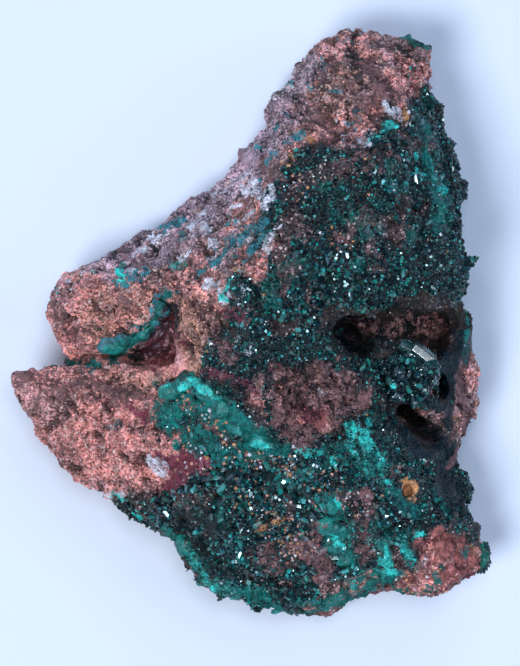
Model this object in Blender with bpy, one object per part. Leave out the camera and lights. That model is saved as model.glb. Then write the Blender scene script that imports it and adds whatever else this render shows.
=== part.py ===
"""Dioptase on matrix: a hand specimen of brown, vuggy host rock with a druse of dark green
dioptase over its top and rounded growths of blue-green chrysocolla at the druse's edges.

The rock is drawn like a map. Its outline is the widest line round it, spot heights say how high
the ground stands inside that line, and ridges and ledges are lines that the ground folds along.
Plan positions and heights are in hundredths of the specimen's length, so LENGTH scales it all.
Sizes that nature or making sets, such as the gap between solids, are in metres.
The specimen rests on the flat at z = 0, with the origin under the middle of its box.
"""

import math
import random

import bmesh
import bpy
from mathutils import Matrix, Vector, noise
from mathutils.bvhtree import BVHTree
from mathutils.geometry import delaunay_2d_cdt

LENGTH = 0.1
UNIT = LENGTH / 100

GAP = 0.00035  # clear space between two solids that touch in nature

ROCK_VOXEL = 1.0 * UNIT  # the grain that the rock's surface is resampled at
ROCK_TRIANGLES = 3700  # before its covered part is drawn more coarsely
COVERED_TRIANGLES = 560  # left to that part, under the crust of crystals
COVERED_WEIGHT = 1000  # how strongly the coarser drawing keeps to that part
SWELLS = (14, 0.8)  # smooth relief on the rock: size and height
BREAKS = ((10, 0.4), (4, 0.35))  # broken faces on the rock: size and slope
CELL_SHUFFLE = 7.3  # spreads neighbouring broken faces' tilts apart
BURIED = 1.5  # how far the underside is modelled below the flat that it is cut to
ABOVE_ALL = 60  # a height over every part of the specimen
CLEFT_LEAN = (0.1, 0.2)  # how far the cleft's walls spread along x and y, going up to there

CRUST_HEIGHT = 0.6  # of the crust of crystals over the rock
CRUST_CLEARANCE = 1.3 * GAP  # under the crust, before it is cut
CRUST_WANDER = (8, 3)  # the crust's lower limit rises and falls: over what distance, and how far
OVERHANG = -0.2  # the crust leaves out faces that look down more than this
TIP_STEEPNESS = (0.25, 0.75)  # height of the small crystals' tips against their width
TIP_LEAN = 0.2

CRYSTAL_ROOT = 0.5  # of each larger crystal, below what it stands on
CRYSTAL_LENGTH = (0.9, 1.4)  # of what stands clear, against its width
CRYSTAL_LEAN = 0.6
SHOULDERS = (0.75, 0.4)  # how far under the tip the six edges end by turns, against the radius
DRUSE_CRYSTALS = (8, 1, (2, 3.2))  # spacing, margin, and range of widths
RIB_CRYSTALS = (3.4, 0.4, (1.8, 2.8))
PLACE_SHAKE = 0.2  # of the spacing

GROWTH_VOXEL = 0.5 * UNIT
GROWTH_SWELLS = (2.5, 0.5)
LOBE_TRIANGLES = 26  # for each lobe of a growth
SEED = 7

# The widest line round the rock, clockwise from the top: x, y and height.
OUTLINE = [
    (17, 50.2, 14), (12, 48.8, 12), (9.2, 44.5, 10), (6.8, 39.4, 9), (3, 34.3, 8),
    (-1.7, 29.9, 8), (-6, 24, 8), (-13.4, 19.7, 7), (-21.6, 13.6, 7), (-29.4, 9.5, 9),
    (-33.5, 5.4, 11), (-34.3, 1.4, 11), (-32.5, -2.7, 10), (-31.3, -5.4, 8), (-34, -7, 12),
    (-40.3, -8.6, 14), (-40.1, -10.9, 13), (-36.7, -17, 10), (-32.5, -23.1, 8),
    (-28.9, -27.2, 8), (-23.1, -31.3, 8), (-14.8, -35.4, 9), (-10.7, -40.1, 9),
    (-6.3, -45.6, 9), (0.7, -47.6, 9), (9.4, -50.2, 8), (14, -49.5, 8), (17, -47, 8),
    (25, -45.4, 8), (30.3, -46, 8), (36.7, -43.5, 9), (40.3, -41, 12), (39.8, -37.4, 12),
    (37.6, -31.3, 11), (35.5, -23, 11), (37.6, -17, 12), (39.3, -13, 13), (38.4, -6.8, 13),
    (37.2, -0.7, 13), (35.9, 4.8, 14), (37.2, 7.8, 16), (36.2, 14.3, 15), (35.9, 21, 14),
    (35, 28, 13), (32.8, 34, 12), (30.6, 39.8, 12), (30.8, 42.8, 13), (30.3, 47, 14),
    (28, 48.6, 14), (23, 48.6, 14), (19.6, 50.2, 14),
]  # fmt: skip

# Lines that the top folds along.
FOLDS = {
    "summit_ridge": [
        (13.5, 44.5, 22), (9, 32.5, 30), (6.5, 27, 34), (3, 20.5, 37), (1.5, 14.5, 39),
        (-2.5, 8, 40), (-4, 2.5, 38), (-6, -3.5, 36),
    ],
    "hollow_brow": [(13, 1, 38), (16.5, 2.5, 38), (20, 2.5, 37), (25.5, 4, 34), (32.5, 5.5, 27)],
    "hollow_lip": [(14, -3, 37), (17.5, -6, 34), (21, -6.5, 31)],
    "rib_crest": [(22.5, -4.5, 28), (27, -4, 29.5), (31, -6, 28)],
    "ledge_crest": [(-39.3, -9, 15), (-32.5, -8, 18), (-23.5, -8, 22), (-17, -8, 25), (-11, -8, 28)],
    "ledge_foot": [(-32.5, -7, 11), (-22.5, -7, 8), (-12.5, -7.2, 11)],
    "spur_crest": [(-29, 5.5, 18), (-23.5, 3, 23), (-17, 4, 28), (-13.5, 3, 28)],
    "recess_wall": [(-10.5, 2, 32), (-10, -4.5, 31)],
    "right_rim": [(36.3, -8, 19), (36, -13.5, 20), (34.5, -19.5, 17)],
    "end_rim": [(36.9, -5.5, 20), (36.3, -1, 20), (35.2, 3.8, 20.5)],
}  # fmt: skip

# Spot heights between the folds.
SPOTS = {
    "top_end": [
        (21, 45.5, 25), (27.5, 44.5, 21), (9.5, 38, 20), (16, 38, 31), (23.5, 38, 30),
        (29, 37, 21),
    ],
    "druse_slope": [
        (15.5, 29, 35), (24, 29, 32), (30.5, 29.5, 23), (15, 19.5, 39), (24, 19.5, 36),
        (31, 20, 26), (8, 11.5, 42), (16.5, 10, 41), (25, 10, 37), (32, 11.5, 28),
    ],
    "left_flank": [
        (2, 29.5, 19), (-2, 22.5, 24), (-7.5, 17, 22), (-14.5, 14.5, 17), (-8.5, 10.5, 31),
        (-15, 8.5, 25), (-23, 9, 18),
    ],
    "left_spur": [(-30, 0, 16), (-23, -3.5, 15), (-29, -5, 11)],
    "recess_floor": [(-22, -6.3, 7), (-13.5, 0, 15), (-12.5, -6.2, 9)],
    "ledge_slope": [
        (-35, -13, 14.5), (-25.5, -14.5, 20), (-17, -16, 25), (-31, -20, 13), (-22, -22.5, 18),
        (-24, -27.5, 13), (-14.5, -24.5, 23), (-17, -31, 13),
    ],
    "middle": [
        (-10, -12, 30), (-6, -13.5, 33), (-11.5, -18, 27), (0, -4.5, 38), (8, 0.5, 39),
        (1, -12.5, 36), (6.5, -10, 36), (13, -7, 36), (16.5, -12.5, 34), (6.5, -18, 32),
        (13.5, -19.5, 33),
    ],
    "crystal_rib": [(22.5, -10.5, 29), (27, -12, 28), (30.5, -11, 26), (34, -4.5, 22)],
    "lower_channel": [(24, -15.5, 28), (29, -18, 24), (33.5, -14, 22)],
    "lower_slope": [
        (22.5, -20, 29), (28.5, -24.5, 26), (33, -28, 19), (16.5, -26, 31), (8.5, -24.5, 32),
        (-1, -21, 32), (-6, -24.5, 29), (-9.5, -29.5, 22), (-12, -33.5, 13), (-6, -38, 14),
        (0, -33, 25), (8.5, -33, 28), (17, -33.5, 27), (25, -31, 27), (30.5, -34.5, 24),
        (36, -36, 17), (-1.5, -43, 15), (7, -42.5, 20), (15.5, -42, 20), (23.5, -40, 21),
        (32.5, -41, 19), (38, -40.5, 15),
    ],
}  # fmt: skip

# The flat that the specimen rests on.
FOOT = [
    (13, 43), (3, 27), (-10, 13), (-26, 6), (-31, -11), (-26, -22), (-11, -31), (-4, -41),
    (10, -45), (30, -41), (35, -30), (31, -19), (33, -8), (31, 12), (29, 34), (25, 43),
]  # fmt: skip

# The cleft in the left side: a flat-walled recess above the ledge, and its floor's x, y and height.
CLEFT_FLOOR = [
    (-42, -6.2, 8), (-31, -5.7, 9), (-23, -5, 11), (-17.5, -1, 14), (-14, 3.4, 18),
    (-11.2, -1.5, 17), (-10.6, -6.6, 15), (-18, -7.8, 12), (-26, -7.6, 10), (-34, -8, 8),
    (-42, -8.6, 7),
]  # fmt: skip

# Holes in the rock: centre, the three radii, and a turn about z in degrees.
HOLLOWS = {
    "hollow_throat": ((17.2, -1.6, 27), (4.2, 3.7, 15), 25),
    "hollow_chamber": ((24.5, 0.2, 26), (7.5, 3.8, 14), 8),
    "hollow_end": ((31.3, -1, 22), (3.8, 5.2, 11), -30),
    "lower_channel": ((27.6, -15.8, 21), (6.6, 1.7, 10), -38),
    "rim_pocket": ((32.3, -10.8, 18), (1.8, 2.3, 8), 10),
}
PITS = {
    "ochre_hole": ((26.3, -28, 26.5), (1.5, 1.9, 3.4), -20),
    "red_hole": ((30, -37.2, 23), (1.2, 1.2, 2.6), 0),
    "vug_1": ((8, -16.5, 33), (1.6, 1.2, 2.6), 30),
    "vug_2": ((13, -13, 35), (1.1, 0.8, 2), 0),
    "vug_3": ((3.5, -11.5, 36), (0.9, 1.3, 2), 0),
    "vug_4": ((10, -9, 36.5), (1.2, 0.8, 1.8), -40),
}

# The crust of crystals lies inside this line and above this height, outside the bare patch.
DRUSE_EDGE = [
    (31, 38.5), (36, 35), (38, 28), (39, 21), (40, 14), (41, 7), (34.5, 5.8), (30, 4.6), (25, 3.6),
    (20, 2.2), (14.5, 2), (12.6, -1), (14, -5), (19, -7.3), (21.4, -10), (22, -14.5), (24, -18.2),
    (27.5, -20.5), (31, -22), (37, -22.5), (42, -25), (42, -33), (40.5, -37.5), (36, -36),
    (32, -34), (28, -35.5), (26, -40), (22, -43), (17, -45), (8.5, -46), (6, -52), (0, -52),
    (-8, -49), (-13, -42), (-15, -36.5), (-19, -34.5), (-21.5, -30.5), (-15.5, -29.3),
    (-10, -27.5), (-7.5, -23), (-8, -20.5), (-13.5, -20), (-14, -13.5), (-11, -9.5), (-5, -8),
    (-7.5, -5), (-4, -1), (-2.5, 5.5), (0.5, 10), (2, 16.5), (3.5, 21.5), (7, 26.5), (11.5, 28.5),
    (15.5, 27), (20, 29), (24, 32.5), (28, 36),
]  # fmt: skip
DRUSE_LOWEST = 9
# Where crystals stand singly above the rest.
LARGE_CRYSTALS = [
    (-8, -25), (0, -24), (9, -22.5), (18, -21.5), (27, -24), (30, -30), (22, -35), (8, -37),
    (-4, -38), (-12, -31),
]  # fmt: skip
BARE_PATCH = [
    (-0.5, -11.5), (3, -8.5), (8.5, -6), (15, -6.5), (18.5, -10.5), (18.5, -14.5), (16, -16.5),
    (12, -19.5), (6.5, -18.5), (3, -15),
]  # fmt: skip
# The rib of larger crystals between the hollow's two mouths: its mound, and where crystals stand.
RIB_MOUND = [
    ((24.3, -8.6, 28.6), (3.9, 4.4, 3), 20), ((28.4, -8, 28.4), (4.2, 4, 3), -15),
    ((27, -11.2, 27.4), (3.4, 2.8, 2.6), 0),
]  # fmt: skip
RIB_EDGE = [(22, -11), (23, -5.6), (30, -5.4), (32, -8.5), (29, -12.5)]
# The largest crystal lies over the hollow's lip: its foot, direction, width and length.
PRISM = ((26.4, -4.2, 30.6), (4.2, -2.4, 0.3), 2.4, 5.6)

# Rounded growths: centre x, y, and the three radii of each lobe.
GROWTHS = {
    "chrysocolla_lobe": [
        (-13, -11.2, 2.3, 1.7, 2.2), (-10, -9.9, 2.9, 2, 2.8), (-7, -10.9, 2.6, 2.2, 2.9),
        (-4.3, -13.6, 2, 2.6, 2.6), (-2, -16.6, 2.1, 2.4, 2.6), (0.8, -19.6, 2.4, 2, 2.6),
        (4.2, -20.8, 2.3, 1.6, 2.4),
    ],
    "chrysocolla_tongue": [
        (13.6, -29.8, 1.6, 2.1, 2.2), (13.3, -33.2, 2.1, 2.2, 2.6), (14.3, -36.6, 1.8, 2.4, 2.5),
        (16.2, -39.4, 2.1, 1.6, 2.3),
    ],
}  # fmt: skip
# Growths on the rock's side and in the cleft: centre x, y, z and the radii.
SIDE_GROWTHS = {
    "chrysocolla_rim": [
        (-11.6, -38, 10.5, 1.6, 2, 2.2), (-9.6, -40.8, 10, 1.6, 2, 2.4),
        (-7.6, -43.6, 9.6, 1.7, 2, 2.3), (-5, -45.9, 9.4, 2, 1.5, 2.2), (-1.8, -46.8, 9.4, 2.2, 1.3, 2),
    ],
    "malachite_knob": [(39.2, -40.2, 13, 1.5, 1.7, 1.8), (40, -38.4, 12.6, 1.1, 1.4, 1.5)],
    "chrysocolla_seam": [
        (-14.8, 3.2, 22, 1.8, 2.2, 5), (-16.2, 1.2, 19, 1.8, 2.2, 4.5),
        (-18, -0.8, 17.5, 2, 2, 3.4), (-20.6, -2.2, 16.5, 2.4, 1.9, 2.6),
        (-23.4, -3.6, 15, 2.2, 1.6, 2.2),
    ],
}  # fmt: skip


def start():
    """An empty scene, with the noise functions seeded."""
    for obj in list(bpy.data.objects):
        bpy.data.objects.remove(obj)
    noise.seed_set(SEED)


def point(x, y, z):
    return Vector((x, y, z)) * UNIT


def material(name, colour, roughness, metallic=0.0):
    made = bpy.data.materials.new(name)
    made.use_nodes = True
    shader = made.node_tree.nodes["Principled BSDF"]
    shader.inputs["Base Color"].default_value = (*colour, 1)
    shader.inputs["Roughness"].default_value = roughness
    shader.inputs["Metallic"].default_value = metallic
    return made


def object_from(bm, name):
    mesh = bpy.data.meshes.new(name)
    bm.to_mesh(mesh)
    bm.free()
    obj = bpy.data.objects.new(name, mesh)
    bpy.context.scene.collection.objects.link(obj)
    return obj


def remove(obj):
    mesh = obj.data
    bpy.data.objects.remove(obj)
    bpy.data.meshes.remove(mesh)


def apply_modifiers(obj):
    """The modifiers' result becomes the object's own mesh."""
    graph = bpy.context.evaluated_depsgraph_get()
    made = bpy.data.meshes.new_from_object(obj.evaluated_get(graph))
    obj.modifiers.clear()
    old, obj.data = obj.data, made
    bpy.data.meshes.remove(old)


def modify(obj, kind, **settings):
    """Adds one modifier with these settings and applies it."""
    modifier = obj.modifiers.new(kind.title(), kind)
    for name, value in settings.items():
        setattr(modifier, name, value)
    apply_modifiers(obj)


def combine(obj, other, operation):
    """Joins or cuts the object with another one, which is used up."""
    modify(obj, "BOOLEAN", object=other, operation=operation, solver="EXACT", use_self=True)
    remove(other)


def keep_largest_body(obj):
    """Drops the crumbs that a cut leaves beside the main body, and splits the rest into triangles."""
    bm = bmesh.new()
    bm.from_mesh(obj.data)
    bmesh.ops.triangulate(bm, faces=bm.faces)
    unseen, bodies = set(bm.faces), []
    while unseen:
        body, waiting = set(), [unseen.pop()]
        while waiting:
            face = waiting.pop()
            body.add(face)
            across = {f for edge in face.edges if len(edge.link_faces) == 2 for f in edge.link_faces}
            waiting += across & unseen
            unseen -= across
        bodies.append(body)
    bodies.sort(key=lambda body: sum(face.calc_area() for face in body))
    bmesh.ops.delete(bm, geom=[face for body in bodies[:-1] for face in body], context="FACES")
    bm.to_mesh(obj.data)
    bm.free()


def terrain(bm, ring, folds, spots, facing):
    """Triangles through the ring's vertices, the folds and the spots, facing up (1) or down (-1)."""
    verts, edges = list(ring), [(i, (i + 1) % len(ring)) for i in range(len(ring))]
    for fold, is_closed in folds:
        first = len(verts)
        verts += [bm.verts.new(point(*p)) for p in fold]
        edges += [(i, i + 1) for i in range(first, len(verts) - 1)]
        if is_closed:
            edges.append((len(verts) - 1, first))
    verts += [bm.verts.new(point(*p)) for p in spots]
    plan, _, faces, origins, _, _ = delaunay_2d_cdt([v.co.xy for v in verts], edges, [], 1, 1e-9)
    for face in faces:
        corners = [verts[origins[i][0]] for i in face]
        area = sum(
            plan[a].x * plan[b].y - plan[b].x * plan[a].y for a, b in zip(face, [*face[1:], face[0]])
        )
        bm.faces.new(corners if area * facing > 0 else corners[::-1])


def ellipsoids(name, shapes, subdivisions):
    """Closed ellipsoids from (centre, radii, turn), in one object."""
    bm = bmesh.new()
    for centre, radii, turn in shapes:
        place = (
            Matrix.Translation(point(*centre))
            @ Matrix.Rotation(math.radians(turn), 4, "Z")
            @ Matrix.Diagonal((*point(*radii), 1))
        )
        bmesh.ops.create_icosphere(bm, subdivisions=subdivisions, radius=1, matrix=place)
    return object_from(bm, name)


def carve(obj, push):
    """Moves each vertex along its normal by push(place), both in units."""
    bm = bmesh.new()
    bm.from_mesh(obj.data)
    bm.normal_update()
    for vert in bm.verts:
        vert.co += vert.normal * push(vert.co / UNIT) * UNIT
    bm.to_mesh(obj.data)
    bm.free()


def rounded(place, size, height):
    """Smooth noise."""
    return height * noise.noise(place / size + Vector((size, 0, SEED)))


def broken(place, size, slope):
    """Flat faces that meet in edges and steps, as on broken stone: each cell is one tilted plane."""
    where = place / size + Vector((0, size, SEED))
    _, centres = noise.voronoi(where)
    tilt = noise.noise_vector(centres[0] * CELL_SHUFFLE)
    return slope * size * tilt.dot(where - centres[0])


def cut_flat(obj):
    """Cuts the body off at z = 0 and closes it with one flat face."""
    bm = bmesh.new()
    bm.from_mesh(obj.data)
    cut = bmesh.ops.bisect_plane(
        bm,
        geom=[*bm.verts, *bm.edges, *bm.faces],
        plane_co=(0, 0, 0),
        plane_no=(0, 0, -1),
        clear_outer=True,
    )
    rim = [e for e in cut["geom_cut"] if isinstance(e, bmesh.types.BMEdge)]
    for vert in {v for e in rim for v in e.verts}:
        vert.co.z = 0
    bmesh.ops.holes_fill(bm, edges=rim, sides=0)
    bmesh.ops.triangulate(bm, faces=bm.faces)
    bmesh.ops.recalc_face_normals(bm, faces=bm.faces)
    bm.to_mesh(obj.data)
    bm.free()


def cleft():
    """The cutter for the recess: its sloping floor, and walls that lean out a little going up."""
    bm = bmesh.new()
    count = len(CLEFT_FLOOR)
    middle = sum((Vector(p) for p in CLEFT_FLOOR), Vector((0, 0, 0))) / count
    floor = [bm.verts.new(point(*p)) for p in CLEFT_FLOOR]
    lean_x, lean_y = CLEFT_LEAN
    top = [
        bm.verts.new(point(x + (x - middle.x) * lean_x, y + (y - middle.y) * lean_y, ABOVE_ALL))
        for x, y, _ in CLEFT_FLOOR
    ]
    bm.faces.new(floor[::-1])
    bm.faces.new(top)
    for i in range(count):
        bm.faces.new((floor[i - 1], floor[i], top[i], top[i - 1]))
    bmesh.ops.triangulate(bm, faces=bm.faces)
    bmesh.ops.recalc_face_normals(bm, faces=bm.faces)
    return object_from(bm, "cleft")


def coarsen_covered(rock):
    """Fewer triangles where a crust hides the rock."""
    covered = [v.index for v in rock.data.vertices if is_covered(v.co)]
    rock.vertex_groups.new(name="covered").add(covered, 1, "REPLACE")
    now = len(rock.data.polygons)
    modify(
        rock,
        "DECIMATE",
        ratio=(now - 2 * len(covered) + COVERED_TRIANGLES) / now,
        vertex_group="covered",
        vertex_group_factor=COVERED_WEIGHT,
    )
    rock.vertex_groups.clear()


def build_matrix():
    """The host rock."""
    bm = bmesh.new()
    ring = [bm.verts.new(point(*p)) for p in OUTLINE]
    spots = [p for group in SPOTS.values() for p in group]
    terrain(bm, ring, [(fold, False) for fold in FOLDS.values()], spots, facing=1)
    terrain(bm, ring, [([(x, y, -BURIED) for x, y in FOOT], True)], [], facing=-1)
    rock = object_from(bm, "matrix_rock")
    combine(rock, ellipsoids("hollows", HOLLOWS.values(), 3), "DIFFERENCE")
    combine(rock, cleft(), "DIFFERENCE")
    modify(rock, "REMESH", mode="VOXEL", voxel_size=ROCK_VOXEL)
    carve(rock, lambda p: rounded(p, *SWELLS) + sum(broken(p, *cells) for cells in BREAKS))
    modify(rock, "DECIMATE", ratio=ROCK_TRIANGLES / (2 * len(rock.data.polygons)))
    coarsen_covered(rock)
    cut_flat(rock)
    keep_largest_body(rock)
    return rock


def surface_of(obj):
    """A function from a plan position to the place and normal of the object's top there."""
    tree = BVHTree.FromObject(obj, bpy.context.evaluated_depsgraph_get())

    def surface(x, y):
        place, normal, *_ = tree.ray_cast(point(x, y, ABOVE_ALL), Vector((0, 0, -1)))
        return place, normal

    return surface


def copy_of(obj):
    copy = bpy.data.objects.new("copy", obj.data.copy())
    bpy.context.scene.collection.objects.link(copy)
    return copy


def grown(obj):
    """A copy of the object with its surface moved out by the gap."""
    copy = copy_of(obj)
    modify(copy, "TRIANGULATE")
    modify(copy, "DISPLACE", strength=GAP, mid_level=0, direction="NORMAL")
    return copy


def boxes_meet(a, b):
    """Whether the boxes round two objects overlap."""
    return all(
        min(v.co[axis] for v in a.data.vertices) < max(v.co[axis] for v in b.data.vertices) + GAP
        and min(v.co[axis] for v in b.data.vertices) < max(v.co[axis] for v in a.data.vertices) + GAP
        for axis in range(3)
    )


def is_inside(x, y, loop):
    """Whether a plan position is inside a closed line, by counting crossings."""
    inside = False
    for (ax, ay), (bx, by) in zip(loop, [*loop[1:], loop[0]]):
        if (ay > y) != (by > y) and x < ax + (y - ay) * (bx - ax) / (by - ay):
            inside = not inside
    return inside


def scattered(loop, spacing, margin, chance):
    """Plan positions inside the loop, on a shaken triangular grid, clear of its edge."""
    found = []
    low_x, high_x = min(x for x, _ in loop), max(x for x, _ in loop)
    low_y, high_y = min(y for _, y in loop), max(y for _, y in loop)
    row_height = spacing * math.sqrt(3) / 2
    for row in range(math.ceil((high_y - low_y) / row_height) + 1):
        for column in range(math.ceil((high_x - low_x) / spacing) + 1):
            shake_x = chance.uniform(-PLACE_SHAKE, PLACE_SHAKE)
            shake_y = chance.uniform(-PLACE_SHAKE, PLACE_SHAKE)
            x = low_x + spacing * (column + row % 2 / 2 + shake_x)
            y = low_y + row_height * row + spacing * shake_y
            around = [(x + dx, y + dy) for dx in (-margin, margin) for dy in (-margin, margin)]
            if all(is_inside(*place, loop) for place in around):
                found.append((x, y))
    return found


def is_covered(place):
    """Whether the crust of crystals lies over this place on the rock."""
    x, y, z = place / UNIT
    distance, rise = CRUST_WANDER
    lowest = DRUSE_LOWEST + rise * noise.noise(Vector((x, y, SEED)) / distance)
    return z > lowest and is_inside(x, y, DRUSE_EDGE) and not is_inside(x, y, BARE_PATCH)


def unpinch(bm):
    """Opens the places where two parts of a sheet meet in one point only."""
    while pinched := [v for v in bm.verts if sum(edge.is_boundary for edge in v.link_edges) > 2]:
        bmesh.ops.delete(bm, geom=pinched, context="VERTS")


def crust_over(rock, chance):
    """The crust's own body: the rock's faces there, given a thickness and a carpet of tips."""
    crust = copy_of(rock)
    crust.name = "dioptase_druse"
    bm = bmesh.new()
    bm.from_mesh(crust.data)
    bare = [
        face
        for face in bm.faces
        if face.normal.z < OVERHANG or not is_covered(face.calc_center_median())
    ]
    bmesh.ops.delete(bm, geom=bare, context="FACES")
    unpinch(bm)
    bm.to_mesh(crust.data)
    bm.free()
    keep_largest_body(crust)
    modify(crust, "DISPLACE", strength=CRUST_CLEARANCE, mid_level=0, direction="NORMAL")
    tops = len(crust.data.polygons)
    modify(crust, "SOLIDIFY", thickness=CRUST_HEIGHT * UNIT, offset=1)
    raise_tips(crust, tops, chance)
    return crust


def raise_tips(crust, tops, chance):
    """Each triangle of the crust's top becomes a crystal's end, three faces that meet in a tip.

    The crust's top faces are its first ones, as the modifier that thickens it leaves them.
    """
    bm = bmesh.new()
    bm.from_mesh(crust.data)
    bm.normal_update()
    bm.faces.ensure_lookup_table()
    for face in [bm.faces[i] for i in range(tops)]:
        side = math.sqrt(face.calc_area())
        tips = bmesh.ops.poke(bm, faces=[face], offset=side * chance.uniform(*TIP_STEEPNESS))
        for tip in tips["verts"]:
            tip.co += Vector([chance.uniform(-TIP_LEAN, TIP_LEAN) * side for _ in range(3)])
    bmesh.ops.triangulate(bm, faces=bm.faces)
    bm.to_mesh(crust.data)
    bm.free()


def crystal(bm, foot, direction, width, length, turn):
    """One dioptase crystal: a six-sided prism that ends in the three faces of a rhombohedron."""
    radius = width / 2
    place = (
        Matrix.Translation(foot)
        @ direction.to_track_quat("Z", "Y").to_matrix().to_4x4()
        @ Matrix.Rotation(turn, 4, "Z")
    )
    corners = [
        (radius * math.cos(math.radians(60 * i)), radius * math.sin(math.radians(60 * i)))
        for i in range(6)
    ]
    bottom = [bm.verts.new(place @ Vector((x, y, 0))) for x, y in corners]
    top = [
        bm.verts.new(place @ Vector((x, y, length - SHOULDERS[i % 2] * radius)))
        for i, (x, y) in enumerate(corners)
    ]
    tip = bm.verts.new(place @ Vector((0, 0, length)))
    bm.faces.new(bottom[::-1])
    for i in range(6):
        j = (i + 1) % 6
        bm.faces.new((bottom[i], bottom[j], top[j], top[i]))
    for i in (0, 2, 4):
        bm.faces.new((top[i], top[i + 1], top[(i + 2) % 6], tip))


def crystal_field(loop, surface, spacing, margin, widths, chance):
    """Crystals rooted under the surface at places inside the loop, each leaning its own way."""
    bm = bmesh.new()
    for place in scattered(loop, spacing, margin, chance):
        foot, normal = surface(*place)
        if foot is None:
            continue
        width = chance.uniform(*widths) * UNIT
        lean = Vector([chance.uniform(-CRYSTAL_LEAN, CRYSTAL_LEAN) for _ in range(3)])
        away = (normal + lean).normalized()
        length = width * chance.uniform(*CRYSTAL_LENGTH) + CRYSTAL_ROOT * UNIT
        foot -= normal * CRYSTAL_ROOT * UNIT
        crystal(bm, foot, away, width, length, chance.uniform(0, math.pi))
    return object_from(bm, "crystals")


def build_growths(surface):
    """The rounded chrysocolla and malachite."""
    lobes = {
        name: [((x, y, surface(x, y)[0].z / UNIT), (a, b, c)) for x, y, a, b, c in shapes]
        for name, shapes in GROWTHS.items()
    }
    for name, shapes in SIDE_GROWTHS.items():
        lobes[name] = [((x, y, z), (a, b, c)) for x, y, z, a, b, c in shapes]
    made = []
    for name, shapes in lobes.items():
        growth = ellipsoids(name, [(centre, radii, 0) for centre, radii in shapes], 2)
        modify(growth, "REMESH", mode="VOXEL", voxel_size=GROWTH_VOXEL)
        carve(growth, lambda p: rounded(p, *GROWTH_SWELLS))
        wanted = LOBE_TRIANGLES * len(shapes)
        modify(growth, "DECIMATE", ratio=min(1, wanted / (2 * len(growth.data.polygons))))
        made.append(growth)
    return made


def build_druse(rock):
    """The crust of dioptase, with larger crystals over its lower part."""
    chance = random.Random(SEED)
    druse = crust_over(rock, chance)
    crystals = crystal_field(LARGE_CRYSTALS, surface_of(druse), *DRUSE_CRYSTALS, chance)
    combine(druse, crystals, "UNION")
    return druse


def build_rib():
    """The mound of crystals between the hollow's mouths, with the largest crystal on its edge."""
    chance = random.Random(SEED + 1)
    rib = ellipsoids("hollow_crystals", RIB_MOUND, 1)
    combine(rib, crystal_field(RIB_EDGE, surface_of(rib), *RIB_CRYSTALS, chance), "UNION")
    foot, direction, width, length = PRISM
    bm = bmesh.new()
    crystal(bm, point(*foot), Vector(direction).normalized(), width * UNIT, length * UNIT, 0)
    combine(rib, object_from(bm, "prism"), "UNION")
    return rib


def centre_all(pieces):
    """Moves the pieces together, so that the middle of their box is over the origin."""
    corners = [v.co for piece in pieces for v in piece.data.vertices]
    middle = Vector([(min(c[i] for c in corners) + max(c[i] for c in corners)) / 2 for i in (0, 1)])
    for piece in pieces:
        piece.data.transform(Matrix.Translation((-middle.x, -middle.y, 0)))


def main():
    start()
    rock = build_matrix()
    rib = build_rib()
    druse = build_druse(rock)
    # Each piece gives way to those before it. Where a neighbour's surface folds as it is moved
    # out, a little of the piece is left inside, which the second cut takes.
    pieces = [rock, *build_growths(surface_of(rock)), rib, druse]
    for i, piece in enumerate(pieces):
        for neighbour in pieces[:i]:
            if boxes_meet(piece, neighbour):
                combine(piece, grown(neighbour), "DIFFERENCE")
                combine(piece, copy_of(neighbour), "DIFFERENCE")
        if piece in (rock, druse):
            combine(piece, ellipsoids("pits", PITS.values(), 1), "DIFFERENCE")
        keep_largest_body(piece)
    centre_all(pieces)
    dioptase = material("dioptase", (0.01, 0.07, 0.055), 0.2)
    chrysocolla = material("chrysocolla", (0.02, 0.33, 0.3), 0.35)
    iron_stained_rock = material("iron_stained_rock", (0.30, 0.16, 0.13), 0.85)
    finishes = {rock: iron_stained_rock, druse: dioptase, rib: dioptase}
    for piece in pieces:
        piece.data.materials.clear()
        piece.data.materials.append(finishes.get(piece, chrysocolla))


main()
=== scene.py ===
"""Dioptase and chrysocolla on iron-stained rock: the looks of the specimen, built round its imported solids."""

import math
from contextlib import contextmanager

import bmesh
import bpy
import numpy as np
from bpy.props import FloatProperty, FloatVectorProperty, PointerProperty
from mathutils import Matrix, Vector
from mathutils.bvhtree import BVHTree


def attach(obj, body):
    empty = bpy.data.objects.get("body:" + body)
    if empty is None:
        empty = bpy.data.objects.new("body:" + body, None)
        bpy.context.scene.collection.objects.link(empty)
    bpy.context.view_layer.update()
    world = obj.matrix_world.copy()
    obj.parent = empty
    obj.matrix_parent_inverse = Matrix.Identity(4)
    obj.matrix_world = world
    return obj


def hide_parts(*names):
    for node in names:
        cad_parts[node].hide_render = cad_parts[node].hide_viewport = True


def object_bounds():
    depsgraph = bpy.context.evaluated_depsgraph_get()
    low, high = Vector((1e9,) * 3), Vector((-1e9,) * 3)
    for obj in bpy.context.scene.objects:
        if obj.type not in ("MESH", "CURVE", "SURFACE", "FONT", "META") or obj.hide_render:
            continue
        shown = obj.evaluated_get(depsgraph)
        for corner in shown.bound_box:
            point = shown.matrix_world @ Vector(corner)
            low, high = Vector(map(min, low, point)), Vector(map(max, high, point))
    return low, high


bl_info = {
    "name": "Dioptase specimen",
    "version": (1, 0, 0),
    "blender": (4, 5, 0),
    "location": "3D View > Sidebar > Specimen",
    "description": "Builds a dioptase and chrysocolla specimen on its rock",
    "category": "Object",
}

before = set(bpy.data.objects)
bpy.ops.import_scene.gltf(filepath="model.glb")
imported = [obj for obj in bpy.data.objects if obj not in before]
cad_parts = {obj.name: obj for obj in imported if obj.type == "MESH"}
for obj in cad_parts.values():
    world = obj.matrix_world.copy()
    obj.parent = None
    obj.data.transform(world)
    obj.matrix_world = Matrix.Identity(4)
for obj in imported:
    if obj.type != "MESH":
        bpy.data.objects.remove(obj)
CAD_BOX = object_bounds()

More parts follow.
